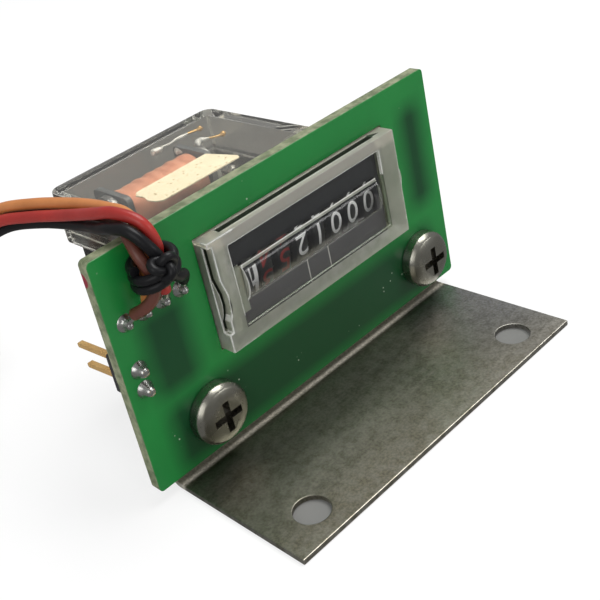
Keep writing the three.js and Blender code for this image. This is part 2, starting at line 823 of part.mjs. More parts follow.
// Outer layer of the winding: one unbroken helical tube, its least gap to
// itself measured on the middle line's points and printed
function outerLayerShape() {
  const wire = windingWire / 2;
  const start = coilLeft + seatGap + wire;
  const rise = (coilRight - seatGap - wire - start) / windingTurns;
  const steps = windingTurns * windingStepsPerTurn;
  const centres = [];
  const positions = [];
  const indices = [];
  for (let i = 0; i <= steps; i += 1) {
    const turn = i / windingStepsPerTurn;
    const angle = 2 * Math.PI * turn;
    const outward = new THREE.Vector3(0, Math.cos(angle), Math.sin(angle));
    const centre = new THREE.Vector3(start + rise * turn, coilY, coilZ);
    centre.addScaledVector(outward, windingRadius);
    centres.push(centre);
    for (let side = 0; side < windingSides; side += 1) {
      const around = 2 * Math.PI * side / windingSides;
      const point = centre.clone().addScaledVector(outward, wire * Math.cos(around));
      point.addScaledVector(axisX, wire * Math.sin(around));
      positions.push(point.x, point.y, point.z);
    }
  }
  for (let i = 0; i < steps; i += 1) {
    for (let side = 0; side < windingSides; side += 1) {
      const next = (side + 1) % windingSides;
      const a = i * windingSides + side;
      const b = i * windingSides + next;
      const c = a + windingSides;
      const d = b + windingSides;
      indices.push(a, c, b, b, c, d);
    }
  }
  const last = steps * windingSides;
  for (let side = 1; side < windingSides - 1; side += 1) {
    indices.push(0, side, side + 1);
    indices.push(last, last + side + 1, last + side);
  }
  const geometry = new THREE.BufferGeometry();
  geometry.setAttribute('position', new THREE.Float32BufferAttribute(positions, 3));
  geometry.setIndex(indices);
  geometry.computeVertexNormals();
  printLeastGap(centres);
  return geometry;
}

function printLeastGap(centres) {
  let least = Infinity;
  for (let i = 0; i < centres.length; i += 1) {
    for (let j = i + windingStepsPerTurn / 2; j < centres.length; j += 1) {
      least = Math.min(least, centres[i].distanceTo(centres[j]));
    }
  }
  console.log(`winding: least gap between turns ${(least - windingWire).toFixed(3)} mm`);
}

// Iron circuit: a core bar through the bobbin and two pole plates whose claws
// lie over and under the rotor
function coreShape() {
  const section = rectangle(coilY - coreHalf, coilY + coreHalf, coilZ - coreHalf, coilZ + coreHalf);
  return slabX(section, poleLeft, poleRight + poleThick);
}

function clawOutline(from, to) {
  const outline = new THREE.Shape();
  outline.absarc(rotorY, rotorZ, clawOuter, from, to, false);
  outline.absarc(rotorY, rotorZ, clawInner, to, from, true);
  return outline;
}

function poleShape(left, from, to, clawLeft, clawRight) {
  const right = left + poleThick;
  const top = coilZ + flangeHalf - seatGap;
  const outline = capsule(rotorY, rotorZ, coilY, top - poleWidth / 2, poleWidth / 2);
  const hole = coreHalf + slip;
  const claw = slabX(clawOutline(from, to), clawLeft, clawRight, 8);
  const pad = slabX(clawOutline(from, to), left, right, 8);
  const blank = joined([slabX(outline, left, right, 8), pad, claw]);
  return cut(blank, [
    slabX(rectangle(coilY - hole, coilY + hole, coilZ - hole, coilZ + hole),
      left - overrun, right + overrun),
    rodX(rotorY, rotorZ, arborRadius + slip, left - overrun, right + overrun, 16),
  ]);
}

const upperClawFrom = Math.PI / 9;
const upperClawTo = Math.PI / 2;

function leftPoleShape() {
  return poleShape(poleLeft, upperClawFrom, upperClawTo, poleLeft, magnetRight - clawGap);
}

function rightPoleShape() {
  return poleShape(poleRight, upperClawFrom + Math.PI, upperClawTo + Math.PI,
    magnetLeft + clawGap, poleRight + poleThick);
}

// Rear case
function caseOutline(inset, front, corner) {
  const outline = new THREE.Shape();
  const left = caseLeft + inset;
  const right = caseRight - inset;
  const back = caseBack - inset;
  outline.moveTo(left, front);
  outline.lineTo(right, front);
  outline.absarc(right - corner, back - corner, corner, 0, Math.PI / 2, false);
  outline.absarc(left + corner, back - corner, corner, Math.PI / 2, Math.PI, false);
  return outline;
}

function housingPassage() {
  return slabX(sectionOutline(boardFront - overrun, -cutGap),
    housingLeft - cutGap, housingRight + cutGap);
}

function coverShape() {
  const outer = slabZ(caseOutline(0, boardBack, coverCorner), partingHeight, caseTop, 4);
  const inner = slabZ(caseOutline(coverWall, boardBack + coverWall, coverCorner - coverWall),
    partingHeight - overrun, roofUnderside, 4);
  return cut(outer, [inner, housingPassage()]);
}

function baseShape() {
  const fit = coverWall + slip * 2;
  const corner = coverCorner - coverWall;
  const wall = fit + baseWall;
  const low = slabZ(caseOutline(fit, boardBack, corner), caseBottom, partingHeight - slip * 2, 4);
  const rim = slabZ(caseOutline(fit, boardBack + fit, corner),
    partingHeight - overrun, partingHeight + baseRim, 4);
  const inner = slabZ(caseOutline(wall, boardBack + wall, corner / 2),
    caseBottom + baseWall, partingHeight + baseRim + overrun, 4);
  return cut(joined([low, rim]), [inner, housingPassage()]);
}

// Inner circuit: a small board beside the coil with a chip and a crystal
const innerBoardRight = innerBoardX + innerBoardWidth;
const innerBoardBack = innerBoardY + innerBoardLength;

function innerBoardShape() {
  return box(innerBoardX, innerBoardRight, innerBoardY, innerBoardBack,
    innerBoardTop - innerBoardThick, innerBoardTop);
}

function chipShape() {
  const left = innerBoardX + (innerBoardWidth - chipWidth) / 2;
  const front = innerBoardY + innerBoardGap;
  return box(left, left + chipWidth, front, front + chipLength,
    innerBoardTop, innerBoardTop + chipHeight);
}

function crystalShape() {
  const x = innerBoardRight - crystalRadius - innerBoardGap;
  const back = innerBoardBack - innerBoardGap;
  const z = innerBoardTop + crystalRadius;
  const lip = crystalRadius / 4;
  const waist = crystalRadius - lip / 2;
  return turnedY([
    [0, back - crystalLength],
    [waist - lip, back - crystalLength],
    [waist, back - crystalLength + lip],
    [waist, back - lip],
    [crystalRadius, back - lip],
    [crystalRadius, back],
    [0, back],
  ], x, z, 16);
}

// Fine wire from the coil's flange to a solder bead on the inner board
const beadSetShare = 2;
const beadFlatShare = 0.8;

function coilLeadShape(index) {
  const across = [-1, 1][index] * flangeHalf / 3;
  const startY = coilY + across;
  const top = coilZ + flangeHalf - 2 * fineWire;
  const endX = innerBoardX + solderBead * (beadSetShare + index);
  const endY = startY + solderBead * beadSetShare * index;
  const beadZ = innerBoardTop + solderBead;
  const wire = tube([
    new THREE.Vector3(poleRight + poleThick + fineWire + slip, startY, top),
    new THREE.Vector3(poleRight + poleThick + solderBead, startY, top),
    new THREE.Vector3(endX, endY, (top + beadZ) / 2),
    new THREE.Vector3(endX, endY, beadZ),
  ], fineWire, 8, 6);
  const bead = new THREE.SphereGeometry(solderBead, 8, 5);
  bead.rotateX(Math.PI / 2);
  bead.scale(1, 1, beadFlatShare);
  bead.translate(endX, endY, innerBoardTop + solderBead * beadFlatShare + fineWire / 4);
  return joined([wire, bead]);
}

// Cream paper strip under the roof: torn at its left end, slanted at its right
function stripShape() {
  const left = -stripShift;
  const front = boardBack + stripFront;
  const outlineShares = [
    [0.07, 0.02], [0.98, 0], [1, 0.12], [0.9, 1], [0.06, 1],
    [0.01, 0.86], [0.03, 0.6], [0, 0.38], [0.02, 0.16],
  ];
  const points = outlineShares.map(([u, v]) => [left + u * stripLength, front + v * stripWidth]);
  const high = roofUnderside - slip * 2;
  return slabZ(polygon(points), high - stripThick, high);
}

// Pin header behind the board, its pins soldered at the front
function headerBodyShape() {
  const half = headerBody / 2;
  const low = pinZ(0) - pinPitch / 2;
  const high = pinZ(1) + pinPitch / 2;
  const outline = roundedRectangle(headerX - half, headerX + half, low, high, half / 4);
  for (let i = 0; i < 2; i += 1) {
    const reach = pinHalf + slip;
    outline.holes.push(rectangle(
      headerX - reach, headerX + reach, pinZ(i) - reach, pinZ(i) + reach));
  }
  return slabY(outline, boardBack, boardBack + headerBody, 2);
}

function headerPinShape(index) {
  const z = pinZ(index);
  const bendY = boardBack + headerBody + pinHalf;
  const tipY = boardBack + pinBack - pinShorter * (1 - index);
  const front = boardFront - filletHeight - pinFront;
  const taper = pinHalf / 2;
  const side = polygon([
    [front, z - pinHalf],
    [bendY, z - pinHalf],
    [tipY - taper, z - pinHalf - pinSag],
    [tipY, z - pinSag - taper],
    [tipY, z - pinSag + taper],
    [tipY - taper, z - pinSag + pinHalf],
    [bendY, z + pinHalf],
    [front, z + pinHalf],
  ]);
  const pin = slabX(side, headerX - pinHalf, headerX + pinHalf);
  return joined([pin, solderFillet(headerX, z)]);
}

function solderFillet(x, z) {
  const waistShare = 0.62;
  return turnedY([
    [0, boardFront - filletHeight],
    [filletTip, boardFront - filletHeight],
    [filletRadius * waistShare, boardFront - filletHeight / 2],
    [filletRadius, boardFront],
    [0, boardFront],
  ], x, z, 12);
}

// Leads: the points from each pad up to the tie, then the shared bundle route
// over the board's top edge, back past the case and down to the surface
const bundleRoute = [
  [-21.2, 12.4, 28.4],
  [-21.2, 12.4, 29.8],
  [-21.3, 12.6, 31.2],
  [-21.4, 13.6, 33.0],
  [-21.5, 16.1, 33.75],
  [-21.5, 19.0, 33.4],
  [-21.4, 22.5, 32.9],
  [-21.7, 26.5, 32.4],
  [-22.8, 31.0, 32.0],
  [-24.6, 36.0, 31.2],
  [-26.4, 41.0, 28.6],
  [-27.4, 45.3, 24.2],
  [-27.6, 48.9, 18.2],
  [-27.0, 51.8, 11.8],
  [-26.0, 54.9, 6.2],
  [-25.0, 59.0, 2.9],
  [-24.2, 63.5, 1.95],
];
const bundleTwist = [
  135, 160, 190, 235, 285, 310, 330, 345, 355, 360, 360, 360, 360, 360, 360, 360, 370,
];
const connectorX = -24;
const connectorFront = 75;
const leads = [
  {
    name: 'lead_brown', material: brownLead, place: 0, plug: 3, pad: 0,
    rise: [[-24.05, 14.15, 24.4], [-23.5, 12.8, 25.2], [-22.7, 11.8, 26.3]],
  },
  {
    name: 'lead_orange', material: orangeLead, place: 90, plug: 2, pad: 1,
    rise: [[-22.1, 14.2, 24.8], [-22.05, 14.0, 25.6], [-21.98, 13.5, 26.6]],
  },
  {
    name: 'lead_red', material: redLead, place: 180, plug: 0, pad: 2,
    rise: [[-19.65, 14.2, 24.8], [-19.75, 14.0, 25.6], [-20.15, 13.5, 26.6]],
  },
  {
    name: 'lead_black', material: blackLead, place: 270, plug: 1, pad: 3,
    rise: [[-17.15, 14.2, 24.8], [-17.5, 13.3, 25.9], [-18.9, 12.1, 26.8]],
  },
];

function bundlePoint(index, place) {
  const at = (i) => new THREE.Vector3(...bundleRoute[i]);
  const before = at(Math.max(index - 1, 0));
  const after = at(Math.min(index + 1, bundleRoute.length - 1));
  const along = after.sub(before).normalize();
  const normal = new THREE.Vector3(0, -along.z, along.y).normalize();
  const across = along.clone().cross(normal);
  const angle = (place + bundleTwist[index]) * Math.PI / 180;
  const point = at(index);
  point.addScaledVector(across, bundleRadius * Math.cos(angle));
  point.addScaledVector(normal, bundleRadius * Math.sin(angle));
  return point;
}

function leadPoints(lead) {
  const points = lead.rise.map(([x, y, z]) => new THREE.Vector3(x, y, z));
  for (let i = 0; i < bundleRoute.length; i += 1) {
    points.push(bundlePoint(i, lead.place));
  }
  const x = connectorX + pinPitch * (lead.plug - 1.5);
  const z = connectorHeight / 2;
  const straight = 4 * leadRadius;
  points.push(new THREE.Vector3(x, connectorFront - 2 * straight, z));
  points.push(new THREE.Vector3(x, connectorFront - straight, z));
  points.push(new THREE.Vector3(x, connectorFront - cutGap, z));
  return points;
}

// Solder joint of a lead: a domed fillet and the bared end that runs into it
function leadJointShape(lead) {
  const x = padX(lead.pad);
  const z = boardBottom + padHeight;
  const [endX, endY, endZ] = lead.rise[0];
  const from = new THREE.Vector3(x, boardFront - filletHeight / 2, z);
  const to = new THREE.Vector3(endX, endY, endZ - cutGap);
  const wire = tube([from, from.clone().lerp(to, 0.5), to], coreWire, 2, 6);
  const stub = rodY(x, z, coreWire, boardFront - filletHeight / 2, boardBack, 8);
  return joined([solderFillet(x, z), wire, stub]);
}

// Tie round the bundle, just in front of the board's top edge
function tieShape() {
  const [x, y, z] = bundleRoute[0];
  const [, , nextZ] = bundleRoute[1];
  const middle = (z + nextZ) / 2;
  const half = tieHeight / 2;
  const bulge = (tieRadius - tieBore) / 3;
  const outline = [
    [tieBore, -half], [tieRadius - bulge, -half], [tieRadius, -half + bulge],
    [tieRadius, half - bulge], [tieRadius - bulge, half], [tieBore, half], [tieBore, -half],
  ].map(([radius, height]) => new THREE.Vector2(radius, height));
  const ring = new THREE.LatheGeometry(outline, 16);
  ring.rotateX(Math.PI / 2);
  return ring.translate(x, y, middle);
}

// Four-way crimp housing at the leads' far ends
function connectorShape() {
  const half = connectorWidth / 2;
  const back = connectorFront + connectorLength;
  const corner = connectorHole / 2;
  const outline = roundedRectangle(connectorX - half, connectorX + half,
    0, connectorHeight, corner);
  const tools = [];
  for (let i = 0; i < 4; i += 1) {
    const x = connectorX + pinPitch * (i - 1.5);
    const z = connectorHeight / 2;
    tools.push(rodY(x, z, connectorHole, connectorFront - overrun,
      connectorFront + connectorMouth, 12));
    tools.push(box(x - connectorSocket, x + connectorSocket,
      back - connectorMouth, back + overrun, z - connectorSocket, z + connectorSocket));
    tools.push(box(x - connectorSocket, x + connectorSocket,
      connectorFront + connectorMouth + corner, connectorFront + 2 * connectorMouth,
      connectorHeight - corner, connectorHeight + overrun));
  }
  return cut(slabY(outline, connectorFront, back, 4), tools);
}

// Assembly
addPiece('bracket', bracketShape(), steel);
addPiece('circuit_board', boardShape(), boardGreen);
addPiece('screw_left', screwShape(screwX[0]), nickel);
addPiece('screw_right', screwShape(screwX[1]), nickel);
addPiece('nut_left', nutShape(screwX[0]), nickel);
addPiece('nut_right', nutShape(screwX[1]), nickel);
addPiece('register_housing', housingShape(), clearPlastic);
addPiece('mask_plate', maskShape(), maskGrey);
addPiece('gear_plate', gearPlateShape(), whitePlastic);
addPiece('frame_plate_left', leftPlateShape(), blackPlastic);
addPiece('frame_plate_right', rightPlateShape(), blackPlastic);
addPiece('wheel_shaft', rodX(wheelY, wheelZ, wheelShaftRadius, gearPlateLeft, rightPlateRight, 12),
  iron);
for (let i = 0; i < wheelCount; i += 1) {
  addPiece(`number_wheel_${i + 1}`, wheelShape(i), i < 2 ? wheelRed : wheelBlack);
}
addPiece('pinion_shaft',
  rodX(pinionY, pinionZ, pinionShaftRadius, leftPlateLeft, rightPlateRight, 12), iron);
for (let i = 0; i < wheelCount - 1; i += 1) {
  addPiece(`transfer_pinion_${i + 1}`, transferPinionShape(i), whitePlastic);
}
addPiece('unit_ring', ringShape(), ringWhite);
addPiece('drive_gear', driveGearShape(), brass);
addPiece('reduction_gear', reductionGearShape(), brass);
addPiece('rotor', rotorShape(), magnetGrey);
addPiece('coil_bobbin', bobbinShape(), bobbinGrey);
addPiece('coil_inner_layers', innerLayersShape(), copper);
addPiece('coil_winding', outerLayerShape(), copper);
addPiece('coil_core', coreShape(), iron);
addPiece('pole_plate_left', leftPoleShape(), iron);
addPiece('pole_plate_right', rightPoleShape(), iron);
addPiece('case_cover', coverShape(), clearGrey);
addPiece('case_base', baseShape(), clearGrey);
addPiece('inner_board', innerBoardShape(), boardBrown);
addPiece('driver_chip', chipShape(), blackPlastic);
addPiece('quartz_crystal', crystalShape(), tin);
addPiece('coil_lead_1', coilLeadShape(0), tin);
addPiece('coil_lead_2', coilLeadShape(1), tin);
addPiece('insulation_strip', stripShape(), cream);
addPiece('header_body', headerBodyShape(), blackPlastic);
addPiece('header_pin_1', headerPinShape(0), gold);
addPiece('header_pin_2', headerPinShape(1), gold);
leads.forEach((lead, index) => {
  addPiece(`lead_joint_${index + 1}`, leadJointShape(lead), tin);
  addPiece(lead.name, tube(leadPoints(lead), leadRadius, leadSteps, leadSides), lead.material);
});
addPiece('lead_tie', tieShape(), blackPlastic);
addPiece('lead_connector', connectorShape(), whitePlastic);

export default hourMeter;
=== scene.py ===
# %% [markdown]
# # An hour meter in Blender
#
# The solids of the meter come from its CAD source: a bent steel bracket, a green circuit board, a
# clear register housing with seven number wheels behind its lens, a clear rear case with a coil in
# it, and four short leads. This lesson dresses them. Hard pieces whose shape is right keep their
# solid and get a finish. Pieces that look soft, wound or rounded on the real meter are modelled
# again here, in the place that the solid holds.

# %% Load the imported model
import json
import math

import bmesh
import bpy
from mathutils import Matrix, Vector


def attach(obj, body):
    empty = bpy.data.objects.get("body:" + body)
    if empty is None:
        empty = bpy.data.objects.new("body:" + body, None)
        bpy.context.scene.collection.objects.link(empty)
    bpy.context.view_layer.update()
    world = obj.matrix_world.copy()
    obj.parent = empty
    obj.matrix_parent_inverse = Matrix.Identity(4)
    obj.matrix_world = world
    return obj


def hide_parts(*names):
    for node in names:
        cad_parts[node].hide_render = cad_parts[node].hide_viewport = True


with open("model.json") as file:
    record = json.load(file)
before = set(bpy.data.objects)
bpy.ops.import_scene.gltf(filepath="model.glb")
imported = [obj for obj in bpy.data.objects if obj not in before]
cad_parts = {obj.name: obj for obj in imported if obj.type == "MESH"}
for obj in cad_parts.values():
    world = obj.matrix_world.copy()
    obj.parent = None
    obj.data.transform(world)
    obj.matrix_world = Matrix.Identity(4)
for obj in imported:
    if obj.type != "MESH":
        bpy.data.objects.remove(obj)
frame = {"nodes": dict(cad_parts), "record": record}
nodes = frame["nodes"]
scene = bpy.context.scene
scene.view_settings.view_transform = "Standard"
mm = 0.001
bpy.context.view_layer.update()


def new_object(name, data):
    """An object in the scene's own collection."""
    made = bpy.data.objects.new(name, data)
    scene.collection.objects.link(made)
    return made


# %% [markdown]
# ## Camera
#
# The photograph was solved as a camera: where it stood, how it was turned, and how long its lens
# was. The picture is a crop, so its optical centre lies up and to the left of its middle. Blender
# says that with the lens shift. Standing at the same place matters more than framing alone,
# because perspective decides how much of each side shows.

# %% Camera
image_side = 600
focal_pixels = 1020.424
optical_centre_x = 245.865
optical_centre_y = 216.067
camera_place = Vector((-67.791, -67.729, 76.398)) * mm
camera_right = Vector((0.717284, -0.662017, -0.217341))
camera_down = Vector((-0.4442, -0.194137, -0.874641))
camera_ahead = Vector((0.536833, 0.723909, -0.433319))

camera_data = bpy.data.cameras.new("photo_camera")
camera_data.sensor_width = 36
camera_data.lens = focal_pixels * camera_data.sensor_width / image_side
camera_data.shift_x = (image_side / 2 - optical_centre_x) / image_side
camera_data.shift_y = (optical_centre_y - image_side / 2) / image_side
camera_data.clip_start = 1 * mm
camera = new_object("photo_camera", camera_data)
camera_turn = Matrix((camera_right, -camera_down, -camera_ahead)).transposed()
camera.matrix_world = Matrix.Translation(camera_place) @ camera_turn.to_4x4()
scene.camera = camera
print("lens", round(camera_data.lens, 2), "mm")

# %% [markdown]
# ## Four supply leads
#
# Each lead is a stranded wire in a PVC sleeve, 1.35 mm thick. They rise from their pads, meet at
# a tie, bend over the top edge of the board and come down behind the meter to a crimp housing.
# A curve with a round bevel suits a lead: it keeps one thickness along any path. The four share
# one route and lie round its middle line, a quarter turn apart, so they twist as a bundle.

# %% Route of the bundle
bundle_route = [
    (-21.2, 12.4, 28.4), (-21.2, 12.4, 29.8), (-21.3, 12.6, 31.2), (-21.4, 13.6, 33.0),
    (-21.5, 16.1, 33.7), (-21.5, 19.0, 33.4), (-21.4, 22.5, 32.9), (-21.7, 26.5, 32.4),
    (-22.8, 31.0, 32.0), (-24.6, 36.0, 31.2), (-26.4, 41.0, 28.6), (-27.4, 45.3, 24.2),
    (-27.6, 48.9, 18.2), (-27.0, 51.8, 11.8), (-26.0, 54.9, 6.2), (-25.0, 59.0, 2.9),
    (-24.2, 63.5, 1.95),
]
bundle_twist = [135, 160, 190, 235, 285, 310, 330, 345, 355] + [360] * 7 + [370]
bundle_radius = 1.14
lead_radius = 0.675
pin_pitch = 2.54
connector_x = -24
connector_front = 75
connector_height = 5
straight_end = (8 * lead_radius, 4 * lead_radius, 0.3)
line_steps = 8
lead_colours = {
    "brown": (0, 3, [(-24.05, 14.15, 24.4), (-23.5, 12.8, 25.2), (-22.7, 11.8, 26.3)]),
    "orange": (90, 2, [(-22.1, 14.2, 24.8), (-22.05, 14.0, 25.6), (-21.98, 13.5, 26.6)]),
    "red": (180, 0, [(-19.65, 14.2, 24.8), (-19.75, 14.0, 25.6), (-20.15, 13.5, 26.6)]),
    "black": (270, 1, [(-17.15, 14.2, 24.8), (-17.5, 13.3, 25.9), (-18.9, 12.1, 26.8)]),
}


def bundle_point(index, place):
    before = Vector(bundle_route[max(index - 1, 0)])
    after = Vector(bundle_route[min(index + 1, len(bundle_route) - 1)])
    along = (after - before).normalized()
    normal = Vector((0, -along.z, along.y)).normalized()
    across = along.cross(normal)
    angle = math.radians(place + bundle_twist[index])
    offset = across * math.cos(angle) + normal * math.sin(angle)
    return Vector(bundle_route[index]) + bundle_radius * offset


def lead_points(place, plug, rise):
    points = [Vector(point) for point in rise]
    points += [bundle_point(index, place) for index in range(len(bundle_route))]
    end_x = connector_x + pin_pitch * (plug - 1.5)
    for setback in straight_end:
        points.append(Vector((end_x, connector_front - setback, connector_height / 2)))
    return [point * mm for point in points]


def through(points, steps):
    """A smooth line through the points: a centripetal Catmull-Rom spline."""
    ends = [2 * points[0] - points[1], *points, 2 * points[-1] - points[-2]]
    line = []
    for before, start, end, after in zip(ends, ends[1:], ends[2:], ends[3:]):
        knot_1 = (start - before).length ** 0.5
        knot_2 = knot_1 + (end - start).length ** 0.5
        knot_3 = knot_2 + (after - end).length ** 0.5
        for step in range(steps):
            t = knot_1 + (knot_2 - knot_1) * step / steps
            first = before + (start - before) * (t / knot_1)
            second = start + (end - start) * ((t - knot_1) / (knot_2 - knot_1))
            third = end + (after - end) * ((t - knot_2) / (knot_3 - knot_2))
            low = first + (second - first) * (t / knot_2)
            high = second + (third - second) * ((t - knot_1) / (knot_3 - knot_1))
            line.append(low + (high - low) * ((t - knot_1) / (knot_2 - knot_1)))
    return line + [points[-1]]


def length_of(line):
    return sum((b - a).length for a, b in zip(line, line[1:]))


print(len(bundle_route), "points in the shared route")


# %% Lay the leads
def round_wire(name, line, radius, body="meter", roundness=5):
    """A piece of wire: one open spline with a round bevel and closed ends.

    The points carry the radius and the bevel is one, so that the curve's box fits its tube.
    """
    curve = bpy.data.curves.new(name, "CURVE")
    curve.dimensions = "3D"
    spline = curve.splines.new("POLY")
    spline.points.add(len(line) - 1)
    for point, place in zip(spline.points, line):
        point.co = (*place, 1)
        point.radius = radius
    curve.bevel_depth = 1
    curve.bevel_resolution = roundness
    curve.use_fill_caps = True
    piece = new_object(name, curve)
    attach(piece, body)
    return piece


leads = {}
for colour, (place, plug, rise) in lead_colours.items():
    line = through(lead_points(place, plug, rise), line_steps)
    lead = round_wire("supply_lead_" + colour, line, lead_radius * mm)
    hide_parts("lead_" + colour)
    leads[colour] = lead
    print(colour, "lead", round(length_of(line) / mm, 1), "mm")

# %% [markdown]
# ## Tools for the finishes
#
# A finish is a small network of nodes that ends in a Principled shader. Writing each node out by
# hand is slow to read, so short helpers add a node, a sum and a mix of two colours. Effects that
# several finishes share are node groups: an uneven tone, fine drawn lines, and wear where a
# surface turns a corner. Each group puts out only colours, masks or heights. One more helper makes
# the finish that most pieces need, with an uneven tone in its colour, roughness and grain.

# %% Node helpers
def feed(tree, value, socket):
    """Links a value that is a socket, and sets any other value."""
    if isinstance(value, bpy.types.NodeSocket):
        tree.links.new(value, socket)
    else:
        socket.default_value = value


def add_node(tree, kind, setup=None, **sockets):
    """Adds a shader node. The setup holds its settings, and the sockets hold its inputs."""
    made = tree.nodes.new("ShaderNode" + kind)
    for name, value in (setup or {}).items():
        setattr(made, name, value)
    for name, value in sockets.items():
        feed(tree, value, made.inputs[name.replace("_", " ")])
    return made


def work_out(tree, operation, first, second=0.0):
    made = add_node(tree, "Math", {"operation": operation})
    for socket, value in zip(made.inputs, (first, second)):
        feed(tree, value, socket)
    return made.outputs[0]


def blend_colours(tree, share, first, second):
    made = add_node(tree, "Mix", {"data_type": "RGBA"})
    for index, value in ((0, share), (6, first), (7, second)):
        feed(tree, value, made.inputs[index])
    return made.outputs[2]


def spread(tree, value, low, high, to_low=0.0, to_high=1.0):
    """Stretches a value from one range onto another and stops at its ends."""
    made = add_node(tree, "MapRange", Value=value, From_Min=low, From_Max=high,
                    To_Min=to_low, To_Max=to_high)
    return made.outputs["Result"]


def new_group(name, inputs, outputs):
    group = bpy.data.node_groups.new(name, "ShaderNodeTree")
    for label, kind, value in inputs:
        socket = group.interface.new_socket(label, in_out="INPUT", socket_type=kind)
        socket.default_value = value
    for label, kind in outputs:
        group.interface.new_socket(label, in_out="OUTPUT", socket_type=kind)
    start = group.nodes.new("NodeGroupInput")
    end = group.nodes.new("NodeGroupOutput")
    return group, start.outputs, end.inputs


def use_group(tree, group, **sockets):
    return add_node(tree, "Group", {"node_tree": group}, **sockets).outputs


def here(tree):
    return add_node(tree, "TexCoord").outputs["Object"]


def axes(tree):
    """The place on a piece as its X, Y and Z."""
    return add_node(tree, "SeparateXYZ", Vector=here(tree)).outputs


# %% Shared effects
number = "NodeSocketFloat"
paint = "NodeSocketColor"
grey = (0.5, 0.5, 0.5, 1)

uneven_tone, given, result = new_group(
    "uneven_tone",
    [("Main", paint, grey), ("Second", paint, grey), ("Size", number, 300.0),
     ("Spread", number, 0.2)],
    [("Colour", paint), ("Mask", number), ("Grain", number)])
cloud = add_node(uneven_tone, "TexNoise", Vector=here(uneven_tone), Scale=given["Size"],
                 Detail=5.0, Roughness=0.6)
low_end = work_out(uneven_tone, "SUBTRACT", 0.5, given["Spread"])
high_end = work_out(uneven_tone, "ADD", 0.5, given["Spread"])
patches = spread(uneven_tone, cloud.outputs["Fac"], low_end, high_end)
fine_size = work_out(uneven_tone, "MULTIPLY", given["Size"], 9.0)
fine = add_node(uneven_tone, "TexNoise", Vector=here(uneven_tone), Scale=fine_size, Detail=3.0)
uneven_tone.links.new(
    blend_colours(uneven_tone, patches, given["Main"], given["Second"]), result["Colour"])
uneven_tone.links.new(patches, result["Mask"])
uneven_tone.links.new(fine.outputs["Fac"], result["Grain"])

drawn_lines, given, result = new_group(
    "drawn_lines", [("Along", number, 120.0), ("Across", number, 2400.0)], [("Mask", number)])
stretch = add_node(drawn_lines, "CombineXYZ", X=given["Along"], Y=given["Across"],
                   Z=given["Across"])
stretched = add_node(drawn_lines, "VectorMath", {"operation": "MULTIPLY"})
drawn_lines.links.new(here(drawn_lines), stretched.inputs[0])
drawn_lines.links.new(stretch.outputs[0], stretched.inputs[1])
lines = add_node(drawn_lines, "TexNoise", Vector=stretched.outputs[0], Scale=1.0, Detail=4.0,
                 Roughness=0.7)
drawn_lines.links.new(spread(drawn_lines, lines.outputs["Fac"], 0.35, 0.65), result["Mask"])

corner_wear, given, result = new_group(
    "corner_wear",
    [("Amount", number, 1.0), ("Break Up", number, 900.0)],
    [("Mask", number)])
bend = add_node(corner_wear, "NewGeometry").outputs["Pointiness"]
edge = spread(corner_wear, bend, 0.52, 0.62)
chips = add_node(corner_wear, "TexNoise", Vector=here(corner_wear), Scale=given["Break Up"],
                 Detail=3.0)
broken = spread(corner_wear, chips.outputs["Fac"], 0.35, 0.6, 0.25, 1.0)
wear = work_out(corner_wear, "MULTIPLY", edge, broken)
corner_wear.links.new(work_out(corner_wear, "MULTIPLY", wear, given["Amount"]), result["Mask"])
print("shared effects:", len(bpy.data.node_groups))


# %% Shaders
def new_finish(name, **values):
    """A material with one Principled shader. Plain values go straight onto its sockets."""
    material = bpy.data.materials.new(name)
    material.use_nodes = True
    tree = material.node_tree
    shader = tree.nodes["Principled BSDF"]
    for label, value in values.items():
        shader.inputs[label.replace("_", " ")].default_value = value
    return material, tree, shader.inputs


def raise_surface(tree, sockets, height, depth, strength):
    bump = add_node(tree, "Bump", Height=height, Distance=depth, Strength=strength)
    tree.links.new(bump.outputs["Normal"], sockets["Normal"])


def coloured(red, green, blue):
    return (red, green, blue, 1.0)


def toned(tree, main, second, size, patch):
    return use_group(tree, uneven_tone, Main=coloured(*main), Second=coloured(*second),
                     Size=size, Spread=patch)


def lay_over(tree, colour, *layers):
    """Blends layers over a colour, one after the other. Each is a mask and a colour."""
    for mask, layer in layers:
        colour = blend_colours(tree, mask, colour, coloured(*layer))
    return colour


def toned_finish(name, main, second, rough, size=350.0, patch=0.22, depth=0.01, strength=0.5,
                 **values):
    """A finish with one uneven tone between two colours and two values of roughness.

    A larger size makes smaller patches, and a depth of 0 leaves the surface without a grain.
    """
    material, tree, sockets = new_finish(name, **values)
    tone = toned(tree, main, second, size, patch)
    tree.links.new(tone["Colour"], sockets["Base Color"])
    tree.links.new(spread(tree, tone["Mask"], 0, 1, *rough), sockets["Roughness"])
    if depth:
        raise_surface(tree, sockets, tone["Grain"], depth * mm, strength)
    return material


def mix_in(tree, share, other):
    """Mixes a second shader over a material's own by a share from 0 to 1."""
    mixed = add_node(tree, "MixShader")
    tree.links.new(share, mixed.inputs[0])
    tree.links.new(tree.nodes["Principled BSDF"].outputs[0], mixed.inputs[1])
    tree.links.new(other.outputs[0], mixed.inputs[2])
    tree.links.new(mixed.outputs[0], tree.nodes["Material Output"].inputs["Surface"])


def dress(piece, *materials):
    piece.data.materials.clear()
    for material in materials:
        piece.data.materials.append(material)


# %% [markdown]
# ## Lead finishes
#
# PVC sleeves are glossy but never perfectly even: the colour drifts a little along the lead and
# handling leaves it slightly dull in patches. A coat gives the soft highlight along the top.

# %% Lead finishes
def sleeve_finish(name, main, second, coat=0.12, shine=0.35):
    return toned_finish(name, main, second, (0.32, 0.46), 260.0, 0.2, 0.02, 0.4,
                        Coat_Weight=coat, Coat_Roughness=0.2, Specular_IOR_Level=shine)


